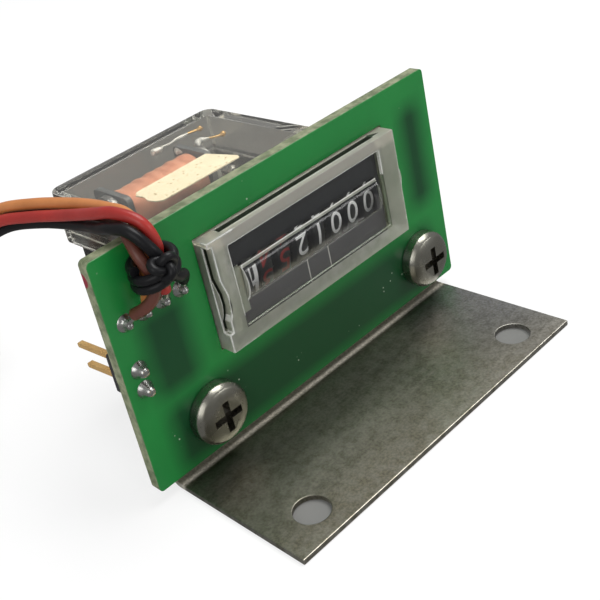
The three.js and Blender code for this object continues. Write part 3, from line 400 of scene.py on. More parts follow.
sleeves = {
    "brown": ((0.115, 0.035, 0.022), (0.085, 0.025, 0.017)),
    "orange": ((0.56, 0.215, 0.07), (0.46, 0.17, 0.05)),
    "red": ((0.36, 0.026, 0.02), (0.28, 0.019, 0.015)),
    "black": ((0.005, 0.005, 0.006), (0.010, 0.010, 0.011), 0.05, 0.2),
}
for colour, looks in sleeves.items():
    dress(leads[colour], sleeve_finish("sleeve_" + colour, *looks))
black_cord_finish = sleeve_finish("tie_cord", *sleeves["black"])

# %% [markdown]
# ## Tie
#
# A length of black cord is wound round the leads in front of the board and knotted. A slanting
# helix of two close turns hugs the bundle, and a trefoil curve gives the overhand knot, because it
# crosses itself in the same three places. The solid under them is a plain ring.

# %% Tie
tie_x, tie_y, tie_z = -21.2, 12.4, 29.1
tie_cord_radius = 0.56
tie_winding_radius = 2.3
tie_turns = 2.2
tie_tilt = 0.22
tie_start = 0.6 * math.pi
tie_below, tie_rise = 1.15, 1.02
tie_steps = 40
tie_line = []
for step in range(int(tie_turns * tie_steps) + 1):
    turn = step / tie_steps
    angle = 2 * math.pi * turn + tie_start
    across = tie_winding_radius * math.cos(angle)
    height = tie_z - tie_below + tie_rise * turn + tie_tilt * across
    tie_line.append(Vector((tie_x + across, tie_y + tie_winding_radius * math.sin(angle),
                            height)) * mm)
tie_wrap = round_wire("tie_turns", tie_line, tie_cord_radius * mm)
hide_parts("lead_tie")
dress(tie_wrap, black_cord_finish)

# %% Knot of the tie
knot_centre = Vector((-21.5, 10.0, 29.9))
knot_size = 0.42
knot_wide, knot_tall, knot_deep = 1.05, 0.95, 1.3
knot_steps = 97
knot_cord_radius = 0.5
knot_out = Vector((-0.35, -0.85, 0.4)).normalized()
knot_right = knot_out.cross(Vector((0, 0, 1))).normalized() * -1
knot_up = knot_right.cross(knot_out) * -1
knot_line = []
for step in range(knot_steps):
    angle = 2 * math.pi * step / knot_steps
    right = knot_size * (math.sin(angle) + 2 * math.sin(2 * angle)) * knot_wide
    up = knot_size * (math.cos(angle) - 2 * math.cos(2 * angle)) * knot_tall
    out = -knot_size * knot_deep * math.sin(3 * angle)
    knot_line.append((knot_centre + right * knot_right + up * knot_up + out * knot_out) * mm)
tie_knot = round_wire("tie_knot", knot_line, knot_cord_radius * mm)
dress(tie_knot, black_cord_finish)
print("tie cord", round((length_of(tie_line) + length_of(knot_line)) / mm, 1), "mm")

# %% [markdown]
# ## Rounded copies of hard pieces
#
# A sheared, moulded or sawn edge is never perfectly sharp, and the thin bright line along it is
# most of what tells the eye that a piece is real. A Bevel on a copy of the solid gives that line.
# The copy is first merged and its flat triangles joined, because a bevel needs clean edges. Only
# edges that turn by more than a set angle are rounded, so curved walls stay as they are. After a
# piece's names come the width of the rounding, its steps and that angle. Weighted normals keep the
# broad faces flat beside the rounding.

# %% Rounding helper
merge_distance = 0.0005 * mm
flat_angle = math.radians(0.5)


def keep(mesh, name, body, smooth_angle=32):
    """Turns a bmesh into a piece that rides on a body, shaded smooth up to an angle."""
    for face in mesh.faces:
        face.smooth = True
    for edge in mesh.edges:
        turn = edge.calc_face_angle(math.pi) if edge.is_manifold else math.pi
        edge.smooth = turn < math.radians(smooth_angle)
    data = bpy.data.meshes.new(name)
    mesh.to_mesh(data)
    mesh.free()
    piece = new_object(name, data)
    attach(piece, body)
    return piece


def clean_copy(node_name):
    mesh = bmesh.new()
    mesh.from_mesh(nodes[node_name].data)
    bmesh.ops.remove_doubles(mesh, verts=mesh.verts, dist=merge_distance)
    bmesh.ops.dissolve_limit(mesh, angle_limit=flat_angle, verts=mesh.verts, edges=mesh.edges)
    return mesh


def round_edges(mesh, width, segments, sharpest, where):
    edges = []
    for edge in mesh.edges:
        if not edge.is_manifold or edge.calc_face_angle(0) < math.radians(sharpest):
            continue
        middle = (edge.verts[0].co + edge.verts[1].co) / 2
        if where is None or where(middle):
            edges.append(edge)
    bmesh.ops.bevel(mesh, geom=edges, offset=width, offset_type="OFFSET", segments=segments,
                    profile=0.5, affect="EDGES", clamp_overlap=False, material=-1)
    return len(edges)


def cut(mesh, place, direction):
    bmesh.ops.bisect_plane(mesh, geom=mesh.verts[:] + mesh.edges[:] + mesh.faces[:],
                           plane_co=place, plane_no=direction)


def rounded_piece(node_name, name, width, segments, sharpest, where=None):
    mesh = clean_copy(node_name)
    count = round_edges(mesh, width, segments, sharpest, where)
    piece = keep(mesh, name, "meter")
    flatten = piece.modifiers.new("flat_faces", "WEIGHTED_NORMAL")
    flatten.keep_sharp = True
    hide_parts(node_name)
    print(name, count, "edges rounded,", len(piece.data.polygons), "faces")
    return piece


# %% [markdown]
# ## Bracket
#
# One strip of nickel-plated steel, bent once. Its plating has dulled: the broad faces show fine
# lines along the strip, brownish patches and dark specks where it has tarnished, and bright rubbed
# edges. Painted reflections make it bluer and lighter towards the far end and lighter and warmer
# at the front. The bend behind the board is painted lit, matte and brown, with a painted
# highlight along its inner curve.

# %% Bracket
far_reflection_x = (12 * mm, 29 * mm)
front_reflection_y = (4 * mm, -5 * mm)
bend_y, bend_z = (14.7 * mm, 15.2 * mm), (2.6 * mm, 1.9 * mm)
bend_highlight_y = (15.8 * mm, 15.4 * mm)
bracket = rounded_piece("bracket", "angle_bracket", 0.14 * mm, 2, 50)

material, tree, sockets = new_finish("dulled_nickel", Metallic=1.0)
tarnish = toned(tree, (0.27, 0.255, 0.195), (0.12, 0.12, 0.09), 55.0, 0.25)
speckle = use_group(tree, uneven_tone, Size=3000.0, Spread=0.12)
rubbed = use_group(tree, corner_wear, Amount=0.8)
spot = axes(tree)
# Painted reflections: bluer and lighter towards the far end, lighter and warmer at the front.
far_reflection = spread(tree, spot["X"], *far_reflection_x, 0.0, 0.75)
front_reflection = spread(tree, spot["Y"], *front_reflection_y, 0.0, 0.65)
# Painted light on the shaded bend, and a painted highlight along its inner curve.
painted_bend_light = work_out(tree, "MULTIPLY", spread(tree, spot["Y"], *bend_y, 0.0, 0.9),
                   spread(tree, spot["Z"], *bend_z))
bend_highlight = work_out(tree, "MULTIPLY", painted_bend_light, spread(tree, spot["Y"], *bend_highlight_y))
dark_specks = spread(tree, speckle["Mask"], 0, 1, 0.0, 0.62)
plating = lay_over(
    tree, tarnish["Colour"],
    (far_reflection, (0.36, 0.37, 0.42)), (front_reflection, (0.40, 0.36, 0.27)),
    (painted_bend_light, (0.27, 0.245, 0.185)), (bend_highlight, (0.58, 0.54, 0.45)),
    (dark_specks, (0.085, 0.08, 0.055)), (rubbed["Mask"], (0.72, 0.70, 0.64)))
tree.links.new(plating, sockets["Base Color"])
# The painted lit bend is made matte, so it shows no dark reflection.
tree.links.new(spread(tree, painted_bend_light, 0, 1, 1.0, 0.1), sockets["Metallic"])
lines = use_group(tree, drawn_lines, Along=60.0, Across=1800.0)
dullness = spread(tree, tarnish["Mask"], 0, 1, 0.30, 0.40)
streaks = spread(tree, lines["Mask"], 0, 1, -0.02, 0.03)
tree.links.new(work_out(tree, "ADD", dullness, streaks), sockets["Roughness"])
raise_surface(tree, sockets, tarnish["Grain"], 0.03 * mm, 0.7)
dress(bracket, material)

# %% [markdown]
# ## Screws and nuts
#
# Two M4 pan heads hold the board. The head is turned and its cross is punched, so the crown is
# smooth and the cross has crisp walls. The floor of the cross is painted dark as shade, so those
# few faces get a finish of their own. The nuts behind are plain hexagons.

# %% Screws and nuts
screw_finish, tree, sockets = new_finish("screw_nickel", Metallic=1.0)
tone = toned(tree, (0.42, 0.41, 0.36), (0.28, 0.27, 0.22), 420.0, 0.25)
rubbed = use_group(tree, corner_wear, Amount=0.7, Break_Up=1500.0)
worn = lay_over(tree, tone["Colour"], (rubbed["Mask"], (0.85, 0.83, 0.78)))
tree.links.new(worn, sockets["Base Color"])
tree.links.new(spread(tree, tone["Mask"], 0, 1, 0.20, 0.34), sockets["Roughness"])
raise_surface(tree, sockets, tone["Grain"], 0.012 * mm, 0.6)
# Painted shade for the floor of the cross.
recess_painted_shade = toned_finish("recess_shade", (0.05, 0.045, 0.04), (0.16, 0.15, 0.13), (0.3, 0.5),
                             900.0, 0.3, 0, Metallic=0.8)

screw_places = {"left": -17.2, "right": 20.5}
screw_z = 6.85
recess_reach = 2.7
recess_front, recess_back = 13.9, 14.8


def outside_recess(screw_x):
    return lambda place: math.hypot(place.x / mm - screw_x, place.z / mm - screw_z) > recess_reach


for side, screw_x in screw_places.items():
    in_ring = outside_recess(screw_x)
    screw = rounded_piece("screw_" + side, "pan_head_" + side, 0.16 * mm, 3, 20, where=in_ring)
    dress(screw, screw_finish, recess_painted_shade)
    # Faces on the floor of the cross get the painted shade.
    for face in screw.data.polygons:
        sunk = recess_front * mm < face.center.y < recess_back * mm
        if sunk and abs(face.normal.y) > 0.5 and not in_ring(face.center):
            face.material_index = 1
    nut = rounded_piece("nut_" + side, "hex_nut_" + side, 0.18 * mm, 2, 40)
    dress(nut, screw_finish)

# %% [markdown]
# ## Circuit board
#
# Green solder mask is a glossy film over copper and glass epoxy. Where copper lies under it the
# green is lighter, and over laminate without copper it is darker and deeper. The dark strip along
# the bottom, by the foot, is a painted reflection of the dark foot. The cut edges show the pale
# yellow laminate with its glass layers. The side faces are told apart by the surface normal. A
# drop of red lacquer sits at the back of the top left corner, and pale dust lies here and there.

# %% Circuit board
board_left = -27.0
# Darker zones: the first two lie over laminate without copper. The last, along the bottom by the
# foot, is a painted reflection of the dark foot.
dark_zones = [(-23.4, -17.4, 12.0, 22.8), (20.8, 24.6, 14.0, 28.0), (-23.2, 23.0, 2.0, 10.8)]
lacquer_place = Vector((-27.1, 16.9, 29.4)) * mm
lacquer_edge = (1.0 * mm, 0.8 * mm)
mote_edge, dusty = (0.13, 0.07), (0.60, 0.64)
layer_waves = 19000.0
side_turn = (0.75, 0.45)

board = rounded_piece("circuit_board", "green_board", 0.06 * mm, 1, 60)
for vert in board.data.vertices:
    vert.co.x = max(vert.co.x, board_left * mm)


def zone(tree, spot, left, right, low, high, soft=1.5, up="Z"):
    """A soft-edged rectangle on a flat face, as a mask. Sizes in millimetres."""
    mask = 1.0
    for axis, start, end in (("X", left, right), (up, low, high)):
        for edge, side in ((start, soft), (end, -soft)):
            inside = spread(tree, spot[axis], (edge - side) * mm, (edge + side) * mm)
            mask = work_out(tree, "MULTIPLY", mask, inside)
    return mask


material, tree, sockets = new_finish("solder_mask", Coat_Weight=0.15, Coat_Roughness=0.1,
                                     Specular_IOR_Level=0.35)
place = here(tree)
spot = axes(tree)
tone = toned(tree, (0.012, 0.200, 0.038), (0.009, 0.160, 0.032), 70.0, 0.25)
# Darker green over laminate, with a painted reflection of the foot along the bottom.
laminate_and_foot_reflection = 0.0
for corners in dark_zones:
    laminate_and_foot_reflection = work_out(tree, "MAXIMUM", laminate_and_foot_reflection, zone(tree, spot, *corners))
laminate_and_foot_reflection = work_out(tree, "MULTIPLY", laminate_and_foot_reflection, 0.9)
mote = add_node(tree, "TexVoronoi", Vector=place, Scale=950.0)
dust = add_node(tree, "TexNoise", Vector=place, Scale=240.0)
motes = work_out(tree, "MULTIPLY", spread(tree, mote.outputs["Distance"], *mote_edge),
                 spread(tree, dust.outputs["Fac"], *dusty))
mask_colour = lay_over(tree, tone["Colour"], (laminate_and_foot_reflection, (0.003, 0.038, 0.013)),
                       (motes, (0.36, 0.45, 0.34)))
from_spot = add_node(tree, "VectorMath", {"operation": "DISTANCE"})
tree.links.new(place, from_spot.inputs[0])
from_spot.inputs[1].default_value = lacquer_place
lacquer = spread(tree, from_spot.outputs["Value"], *lacquer_edge)
facing = add_node(tree, "TexCoord").outputs["Normal"]
turned_to = add_node(tree, "SeparateXYZ", Vector=facing)
along_y = work_out(tree, "ABSOLUTE", turned_to.outputs["Y"])
cut_side = spread(tree, along_y, *side_turn)
layers = work_out(tree, "SINE", work_out(tree, "MULTIPLY", spot["Y"], layer_waves))
fibres = toned(tree, (0.27, 0.29, 0.18), (0.09, 0.12, 0.06), 800.0, 0.12)
layered = lay_over(tree, fibres["Colour"],
                   (spread(tree, layers, -1, 1, 0.0, 0.35), (0.24, 0.25, 0.14)))
bare_board = blend_colours(tree, cut_side, mask_colour, layered)
tree.links.new(lay_over(tree, bare_board, (lacquer, (0.25, 0.012, 0.03))),
               sockets["Base Color"])
gloss = spread(tree, tone["Mask"], 0, 1, 0.26, 0.36)
tree.links.new(work_out(tree, "ADD", gloss, work_out(tree, "MULTIPLY", cut_side, 0.4)),
               sockets["Roughness"])
raise_surface(tree, sockets, tone["Grain"], 0.01 * mm, 0.5)
dress(board, material)

# %% [markdown]
# ## Register housing
#
# The housing is moulded in clear plastic. Its rim is thick and slightly frosted, so it looks pale
# and milky, while the pane and the lens bar in front of the digits are polished. One solid with
# four finishes shows that. The faces of the window well are polished, but a band along the top of
# the lens bar stays frosted as a painted highlight. Rounded edges gather light, and the slits and
# the top slot are painted dark as shade. The rest is frosted, with a painted highlight: a lighter
# beige strip along the top.
#
# The solid is first cut along four planes, because the lens bar's end and the slit don't begin at
# an edge of it. Lamps have to light what lies inside, so shadow rays meet only a thin film.

# %% Register housing
housing = rounded_piece("register_housing", "clear_housing", 0.16 * mm, 2, 50)
window_left, window_right = -11.2 * mm, 14.3 * mm
window_low, window_high = 15.3 * mm, 26.1 * mm
well_front, well_back = 12.5 * mm, 14.5 * mm
rim_front, pane_front = 13.2 * mm, 13.55 * mm
# Above this height the lens bar's faces stay frosted as a painted highlight.
lens_highlight_edge = 22.3 * mm
top_slot_floor, top_slot_back = 26.2 * mm, 15.1 * mm
top_highlight_z = (25.8 * mm, 26.4 * mm)
edge_lean, edge_area = 0.93, 3 * mm * mm


def let_light_in(material, tint):
    """Lets lamps shine through a clear piece: shadow rays meet a plain tinted film."""
    tree = material.node_tree
    film = add_node(tree, "BsdfTransparent", Color=tint)
    mix_in(tree, add_node(tree, "LightPath").outputs["Is Shadow Ray"], film)


def bright_edge(name):
    """The finish of a rounded edge of clear plastic, which gathers light."""
    material = toned_finish(name, (0.85, 0.85, 0.80), (0.45, 0.45, 0.41), (0.15, 0.35), 500.0, 0.3,
                            0, Transmission_Weight=0.3, IOR=1.49)
    let_light_in(material, coloured(0.7, 0.7, 0.7))
    return material


def is_edge(face):
    return max(abs(part) for part in face.normal) < edge_lean and face.area < edge_area


frosted, tree, sockets = new_finish("frosted_moulding", Transmission_Weight=0.72, IOR=1.45)
haze = toned(tree, (0.56, 0.57, 0.47), (0.38, 0.42, 0.32), 260.0, 0.25)
rubbed = use_group(tree, corner_wear, Amount=0.6, Break_Up=700.0)
# Painted highlight: the rim turns lighter and beige towards its top.
top_highlight = spread(tree, axes(tree)["Z"], *top_highlight_z, 0.0, 0.75)
frost = lay_over(tree, haze["Colour"], (top_highlight, (0.92, 0.86, 0.74)),
                 (rubbed["Mask"], (0.86, 0.86, 0.80)))
tree.links.new(frost, sockets["Base Color"])
tree.links.new(spread(tree, haze["Mask"], 0, 1, 0.36, 0.5), sockets["Roughness"])
raise_surface(tree, sockets, haze["Grain"], 0.02 * mm, 0.5)
let_light_in(frosted, coloured(0.75, 0.75, 0.7))

polished = toned_finish("polished_pane", (0.97, 0.975, 0.96), (0.94, 0.95, 0.93), (0.0, 0.05),
                        160.0, 0.3, 0, Transmission_Weight=1.0, IOR=1.18, Coat_Weight=0.6,
                        Coat_Roughness=0.03)
let_light_in(polished, coloured(1, 1, 1))

slit_shade = toned_finish("slit_shade", (0.015, 0.02, 0.013), (0.03, 0.045, 0.025), (0.4, 0.6),
                          500.0, 0.3, 0)

# %% Where the housing is polished, frosted or in shade
lens_end, end_low, end_high = -9.9 * mm, 16.9 * mm, 22.7 * mm
slit_left, slit_right = -13.65 * mm, -12.4 * mm
slit_low, slit_high = 16.0 * mm, 27.4 * mm
slit_front, slit_floor = 14.25 * mm, 18.0 * mm
top_slot_front = well_back - 0.4 * mm
flush, square_on, slanted, sideways = 0.05 * mm, 0.95, 0.2, 0.3
split = bmesh.new()
split.from_mesh(housing.data)
cut(split, (lens_end, 0, 0), (1, 0, 0))
cut(split, (0, 0, end_low), (0, 0, 1))
cut(split, (0, 0, end_high), (0, 0, 1))
cut(split, (0, slit_front, 0), (0, 1, 0))
split.to_mesh(housing.data)
split.free()
dress(housing, frosted, polished, slit_shade, bright_edge("moulding_edge"))
polished_index, shade_index, edge_index = 1, 2, 3
clear_faces = 0
for face in housing.data.polygons:
    middle = face.center
    across = window_left < middle.x < window_right and window_low < middle.z < window_high
    on_rim = abs(middle.y - rim_front) < flush and abs(face.normal.y) > square_on
    # Painted highlight: the top band of the lens bar is left frosted, so it shows as a pale line.
    lens_highlight_band = middle.z > lens_highlight_edge and middle.y < pane_front
    faces_front = abs(face.normal.y) > slanted and not lens_highlight_band
    in_slot = middle.z > top_slot_floor and top_slot_front < middle.y < top_slot_back
    in_pane = across and well_front < middle.y < well_back and faces_front and not on_rim
    beside_lens = middle.x < lens_end and end_low < middle.z < end_high
    in_slit = (slit_left < middle.x < slit_right and slit_front < middle.y < slit_floor
               and slit_low < middle.z < slit_high and abs(face.normal.x) > sideways)
    if in_slit or in_slot:
        face.material_index = shade_index
    elif in_pane and not beside_lens:
        face.material_index = polished_index
        clear_faces += 1
    elif is_edge(face) and middle.y < well_back:
        face.material_index = edge_index
print("polished faces:", clear_faces)

# %% [markdown]
# ## Rear case
#
# The case is a clear grey cover that telescopes over a base. What lies inside shows through, so
# both keep real walls. A little colour in the plastic and a very slight haze are enough, with
# bright edges. The base is darker, and lets less light in.

# %% Rear case
cover = rounded_piece("case_cover", "clear_cover", 0.22 * mm, 3, 50)
base = rounded_piece("case_base", "clear_base", 0.15 * mm, 2, 50)
for piece, name, main, second, film in (
        (cover, "smoky_cover", (0.88, 0.86, 0.80), (0.82, 0.80, 0.73), 1.0),
        (base, "smoky_base", (0.13, 0.12, 0.095), (0.09, 0.085, 0.07), 0.1)):
    material = toned_finish(name, main, second, (0.02, 0.10), 120.0, 0.3, 0.006, 0.3,
                            Transmission_Weight=0.985, IOR=1.49)
    let_light_in(material, coloured(film, film, film))
    dress(piece, material, bright_edge(name + "_edge"))
    for face in piece.data.polygons:
        if is_edge(face):
            face.material_index = 1

# %% [markdown]
# ## Number wheels
#
# Each wheel is a moulded drum with gears on its sides. Its digits are printed on a smooth rim. The
# solids keep the gears, and a thin turned band gives each rim its true roundness. The band is a
# small rectangle spun round the shaft. A digit starts as flat text, is sliced into narrow strips
# so that it can bend, and is then wrapped round the rim. The meter stands upside down in the
# picture, so the digits do too. The first two wheels stand a little past a whole digit: their lag
# says by how many degrees. The look of a print is its height, the share of its width that is kept,
# and the weight added to its strokes.

# %% Number bands
wheel_y, wheel_z = 20.2, 20.4
first_wheel_x = -5.0
wheel_pitch = 3.0
band_inside, band_outside = 4.6, 4.745
band_half = 0.93
wheel_bodies = ["first_wheel"] + ["wheel_%d" % number for number in range(2, 8)]


def spun(outline, closed, centre, axis, steps):
    """Spins an outline round an axis through the centre. Sizes in millimetres."""
    mesh = bmesh.new()
    points = [mesh.verts.new(Vector(corner) * mm) for corner in outline]
    for start, end in zip(points, points[1:] + points[:1] if closed else points[1:]):
        mesh.edges.new((start, end))
    bmesh.ops.spin(mesh, geom=mesh.verts[:] + mesh.edges[:], cent=Vector(centre) * mm,
                   axis=axis, angle=2 * math.pi, steps=steps, use_merge=True)
    bmesh.ops.remove_doubles(mesh, verts=mesh.verts, dist=0.002 * mm)
    return mesh


def turned_ring(name, x, half, inside, outside, body, steps=96):
    chamfer = 0.04
    outline = [(-half, inside), (-half, outside - chamfer), (-half + chamfer, outside),
               (half - chamfer, outside), (half, outside - chamfer), (half, inside)]
    mesh = spun([(x + u, wheel_y, wheel_z + v) for u, v in outline], True,
                (x, wheel_y, wheel_z), (1, 0, 0), steps)
    bmesh.ops.recalc_face_normals(mesh, faces=mesh.faces)
    return keep(mesh, name, body, 50)


drum_finish = toned_finish("drum_black", (0.020, 0.021, 0.023), (0.032, 0.033, 0.034),
                           (0.30, 0.45), 400.0, 0.2)

for index, body in enumerate(wheel_bodies):
    band = turned_ring("number_band_%d" % (index + 1), first_wheel_x + wheel_pitch * index,
                       band_half, band_inside, band_outside, body)
    dress(band, drum_finish)
ring_x = -7.3
ring_band = turned_ring("unit_band", ring_x, 0.72, band_inside, band_outside, "meter")
dress(ring_band, drum_finish)
print("bands:", len(wheel_bodies) + 1)

# %% Digits
digit_look = (2.4, 1.2, 0.0)
mark_look = (3.2, 0.82, 0.035)
mark_lag = 4.0
digit_turn = 36.0
print_thickness = 0.02
print_radius = band_outside + 0.004
strip_height = 0.16


def flat_text(text, height, weight):
    """Text as a flat mesh in a bmesh, its middle at the origin, in millimetres."""
    curve = bpy.data.curves.new("lettering", "FONT")
    curve.body = text
    curve.size = 1
    curve.offset = weight
    curve.align_x = "CENTER"
    curve.resolution_u = 6
    lettering = new_object("lettering", curve)
    bpy.context.view_layer.update()
    data = bpy.data.meshes.new_from_object(
        lettering.evaluated_get(bpy.context.evaluated_depsgraph_get()))
    bpy.data.objects.remove(lettering)
    mesh = bmesh.new()
    mesh.from_mesh(data)
    bpy.data.meshes.remove(data)
    bmesh.ops.remove_doubles(mesh, verts=mesh.verts, dist=0.0001)
    across = [vert.co.x for vert in mesh.verts]
    up = [vert.co.y for vert in mesh.verts]
    middle = Vector(((min(across) + max(across)) / 2, (min(up) + max(up)) / 2, 0))
    bmesh.ops.translate(mesh, verts=mesh.verts, vec=-middle)
    size = height / (max(up) - min(up))
    bmesh.ops.scale(mesh, verts=mesh.verts, vec=(size, size, size))
    return mesh


def wrap_text(text, x, angle, height, width_share, weight):
    """Wraps printed text round the drum, upside down, with a little thickness."""
    mesh = flat_text(text, height, weight)
    slices = int(height / strip_height)
    for index in range(1, slices):
        cut(mesh, (0, -height / 2 + height * index / slices, 0), (0, 1, 0))
    shell = bmesh.ops.extrude_face_region(mesh, geom=mesh.faces[:])
    raised = [item for item in shell["geom"] if isinstance(item, bmesh.types.BMVert)]
    bmesh.ops.translate(mesh, verts=raised, vec=(0, 0, print_thickness))
    for vert in mesh.verts:
        u, v, lift = vert.co
        turn = angle + v / band_outside
        reach = print_radius + lift
        vert.co = Vector((x - u * width_share, wheel_y + reach * math.cos(turn),
                          wheel_z + reach * math.sin(turn))) * mm
    bmesh.ops.recalc_face_normals(mesh, faces=mesh.faces)
    return mesh


def print_finish(name, main, second):
    return toned_finish(name, main, second, (0.45, 0.6), 900.0, 0.2, 0)


white_print = print_finish("white_print", (0.97, 0.97, 0.97), (0.9, 0.9, 0.9))
red_print = print_finish("red_print", (0.30, 0.03, 0.028), (0.20, 0.02, 0.02))

shown = [(3, 17.0), (5, 4.0), (2, 0.0), (1, 0.0), (0, 0.0), (0, 0.0), (0, 0.0)]
front = math.pi
front_lift = math.radians(-17.0)
for index, (digit, lag) in enumerate(shown):
    whole = bmesh.new()
    for step in range(10):
        angle = front - front_lift + math.radians(lag - digit_turn * step)
        letter = wrap_text(str((digit + step) % 10), first_wheel_x + wheel_pitch * index, angle,
                           *digit_look)
        scrap = bpy.data.meshes.new("digit")
        letter.to_mesh(scrap)
        letter.free()
        whole.from_mesh(scrap)
        bpy.data.meshes.remove(scrap)
    digits = keep(whole, "digits_%d" % (index + 1), wheel_bodies[index])
    dress(digits, red_print if index < 2 else white_print)
mark_angle = front - front_lift + math.radians(mark_lag)
hour_mark = keep(wrap_text("h", ring_x, mark_angle, *mark_look), "hour_mark", "meter")
dress(hour_mark, white_print)
print("digits of the last wheel:", len(digits.data.polygons), "faces")

# %% [markdown]
# ## Mask plate
#
# Behind the pane lies a plate with a slot for the digits. Above the slot it is black, below it is
# a dark grey with two thin white marks. The change of colour follows the height on the plate.

# %% Mask plate
black_above = (19.9 * mm, 20.1 * mm)
marks_below = (18.1 * mm, 18.0 * mm)
mark_places = (0.15, 3.75)
mark_edge = (0.11 * mm, 0.05 * mm)
mask = rounded_piece("mask_plate", "digit_mask", 0.05 * mm, 1, 50)
material, tree, sockets = new_finish("mask_two_tone")
spot = axes(tree)
tone = toned(tree, (0.085, 0.082, 0.085), (0.068, 0.066, 0.067), 300.0, 0.25)
marks = 0.0
for mark_x in mark_places:
    away = work_out(tree, "ABSOLUTE", work_out(tree, "SUBTRACT", spot["X"], mark_x * mm))
    marks = work_out(tree, "MAXIMUM", spread(tree, away, *mark_edge), marks)
marks = work_out(tree, "MULTIPLY", marks, spread(tree, spot["Z"], *marks_below))
two_tone = lay_over(
    tree, tone["Colour"],
    (spread(tree, spot["Z"], *black_above), (0.012, 0.013, 0.016)),
    (marks, (0.55, 0.54, 0.50)))
tree.links.new(two_tone, sockets["Base Color"])
tree.links.new(spread(tree, tone["Mask"], 0, 1, 0.42, 0.55), sockets["Roughness"])
raise_surface(tree, sockets, tone["Grain"], 0.01 * mm, 0.6)
dress(mask, material)

# %% [markdown]
# ## Coil
#
# The coil is thousands of turns of enamelled copper wire, the only warm colour inside the case.
# What shows is its outer layer: turns that lie close, with small bulges where layers change. One
# unbroken helix of fine wire shows the turns, over a turned core that closes the gaps below it.

# %% Coil winding
coil_y, coil_z = 31.7, 24.9
coil_start, coil_end = -12.0, -0.4
wire_size = 0.19
layer_radius = 3.12
core_inside, core_outside = 1.8, 3.04
turn_count = 60
turn_steps = 32
helix = []
for step in range(turn_count * turn_steps + 1):
    turn = step / turn_steps
    angle = 2 * math.pi * turn
    bulge = 0.06 * math.sin(turn * 0.71) + 0.04 * math.sin(turn * 0.23 + 2 * angle / turn_count)
    sway = 0.05 * math.sin(angle * 2 + turn * 0.4)
    reach = layer_radius + bulge
    helix.append(Vector((coil_start + (coil_end - coil_start) * turn / turn_count + sway,
                         coil_y + reach * math.cos(angle),
                         coil_z + reach * math.sin(angle))) * mm)
winding = round_wire("copper_turns", helix, wire_size / 2 * mm, roundness=1)
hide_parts("coil_winding")
core = turned_ring("copper_core", (coil_start + coil_end) / 2, (coil_end - coil_start) / 2,
                   core_inside, core_outside, "meter", 64)
shift = Vector((0, coil_y - wheel_y, coil_z - wheel_z)) * mm
core.data.transform(Matrix.Translation(shift))
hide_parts("coil_inner_layers")

copper_finish = toned_finish("enamelled_copper", (0.95, 0.50, 0.33), (0.80, 0.37, 0.23),
                             (0.34, 0.5), 420.0, 0.2, 0.02, Metallic=0.25, Coat_Weight=0.2)
dress(winding, copper_finish)
dress(core, copper_finish)
print("winding", turn_count, "turns,", round(length_of(helix) / mm), "mm of wire shown")

# %% [markdown]
# ## Moulded, metal and paper pieces inside
#
# The rest keeps its solid. Gears are brass, the bobbin is grey plastic, the iron parts are plain
# steel, and a torn strip of cream paper lies under the roof. Each gets a finish with its own
# grain, and the paper has small brown specks too.

# %% Finishes of the inner pieces
inner_finishes = {
    "black_plastic": toned_finish(
        "black_moulding", (0.022, 0.022, 0.024), (0.035, 0.035, 0.037), (0.4, 0.55)),
    "white_plastic": toned_finish(
        "natural_nylon", (0.74, 0.71, 0.62), (0.66, 0.62, 0.52), (0.45, 0.6)),
    "brass": toned_finish(
        "cut_brass", (0.66, 0.48, 0.20), (0.55, 0.38, 0.15), (0.25, 0.4), Metallic=1.0),
    "magnet": toned_finish(
        "sintered_magnet", (0.07, 0.07, 0.075), (0.045, 0.045, 0.05), (0.5, 0.7), 900.0,
        depth=0.03),
    "bobbin_grey": toned_finish(
        "grey_bobbin", (0.11, 0.12, 0.125), (0.08, 0.088, 0.092), (0.4, 0.55)),
    "plain_steel": toned_finish(
        "stamped_steel", (0.42, 0.42, 0.42), (0.32, 0.32, 0.32), (0.3, 0.45), Metallic=1.0),
    "board_brown": toned_finish(
        "paper_board", (0.24, 0.17, 0.10), (0.17, 0.12, 0.07), (0.45, 0.6)),
    "tin": toned_finish(
        "solder", (0.62, 0.62, 0.59), (0.36, 0.36, 0.34), (0.18, 0.35), 900.0, depth=0.02,
        Metallic=1.0),
    "gold": toned_finish(
        "gold_plate", (0.90, 0.58, 0.22), (0.78, 0.46, 0.15), (0.18, 0.3), Metallic=0.6),
    "wheel_black": drum_finish,
    "wheel_red": drum_finish,
}

speck_edge, specked = (0.30, 0.16), (0.46, 0.54)
paper, tree, sockets = new_finish("torn_paper", Roughness=0.85)
tone = toned(tree, (0.95, 0.86, 0.66), (0.88, 0.78, 0.57), 500.0, 0.2)
speck = add_node(tree, "TexVoronoi", Vector=here(tree), Scale=1500.0)
rare = add_node(tree, "TexNoise", Vector=here(tree), Scale=700.0)
specks = work_out(tree, "MULTIPLY", spread(tree, speck.outputs["Distance"], *speck_edge),
                  spread(tree, rare.outputs["Fac"], *specked))
tree.links.new(lay_over(tree, tone["Colour"], (specks, (0.42, 0.33, 0.18))),
               sockets["Base Color"])
raise_surface(tree, sockets, tone["Grain"], 0.03 * mm, 0.8)
inner_finishes["cream_paper"] = paper

for part in frame["record"]["subparts"]:
    chosen = inner_finishes.get(part["material_slot"])
    if chosen is not None:
        dress(nodes[part["node"]], chosen)
print(len(inner_finishes), "finishes for carried-over pieces")

# %% [markdown]
# ## Solder and fine wires
#
# Solder wets the pad and climbs the wire in a hollow curve. That profile is drawn as a few points
# and spun round the wire. Over the cut pins of the header it is a dome. Inside the case two fine
# coil wires run over beads of bright solder to golden tips on the inner board.

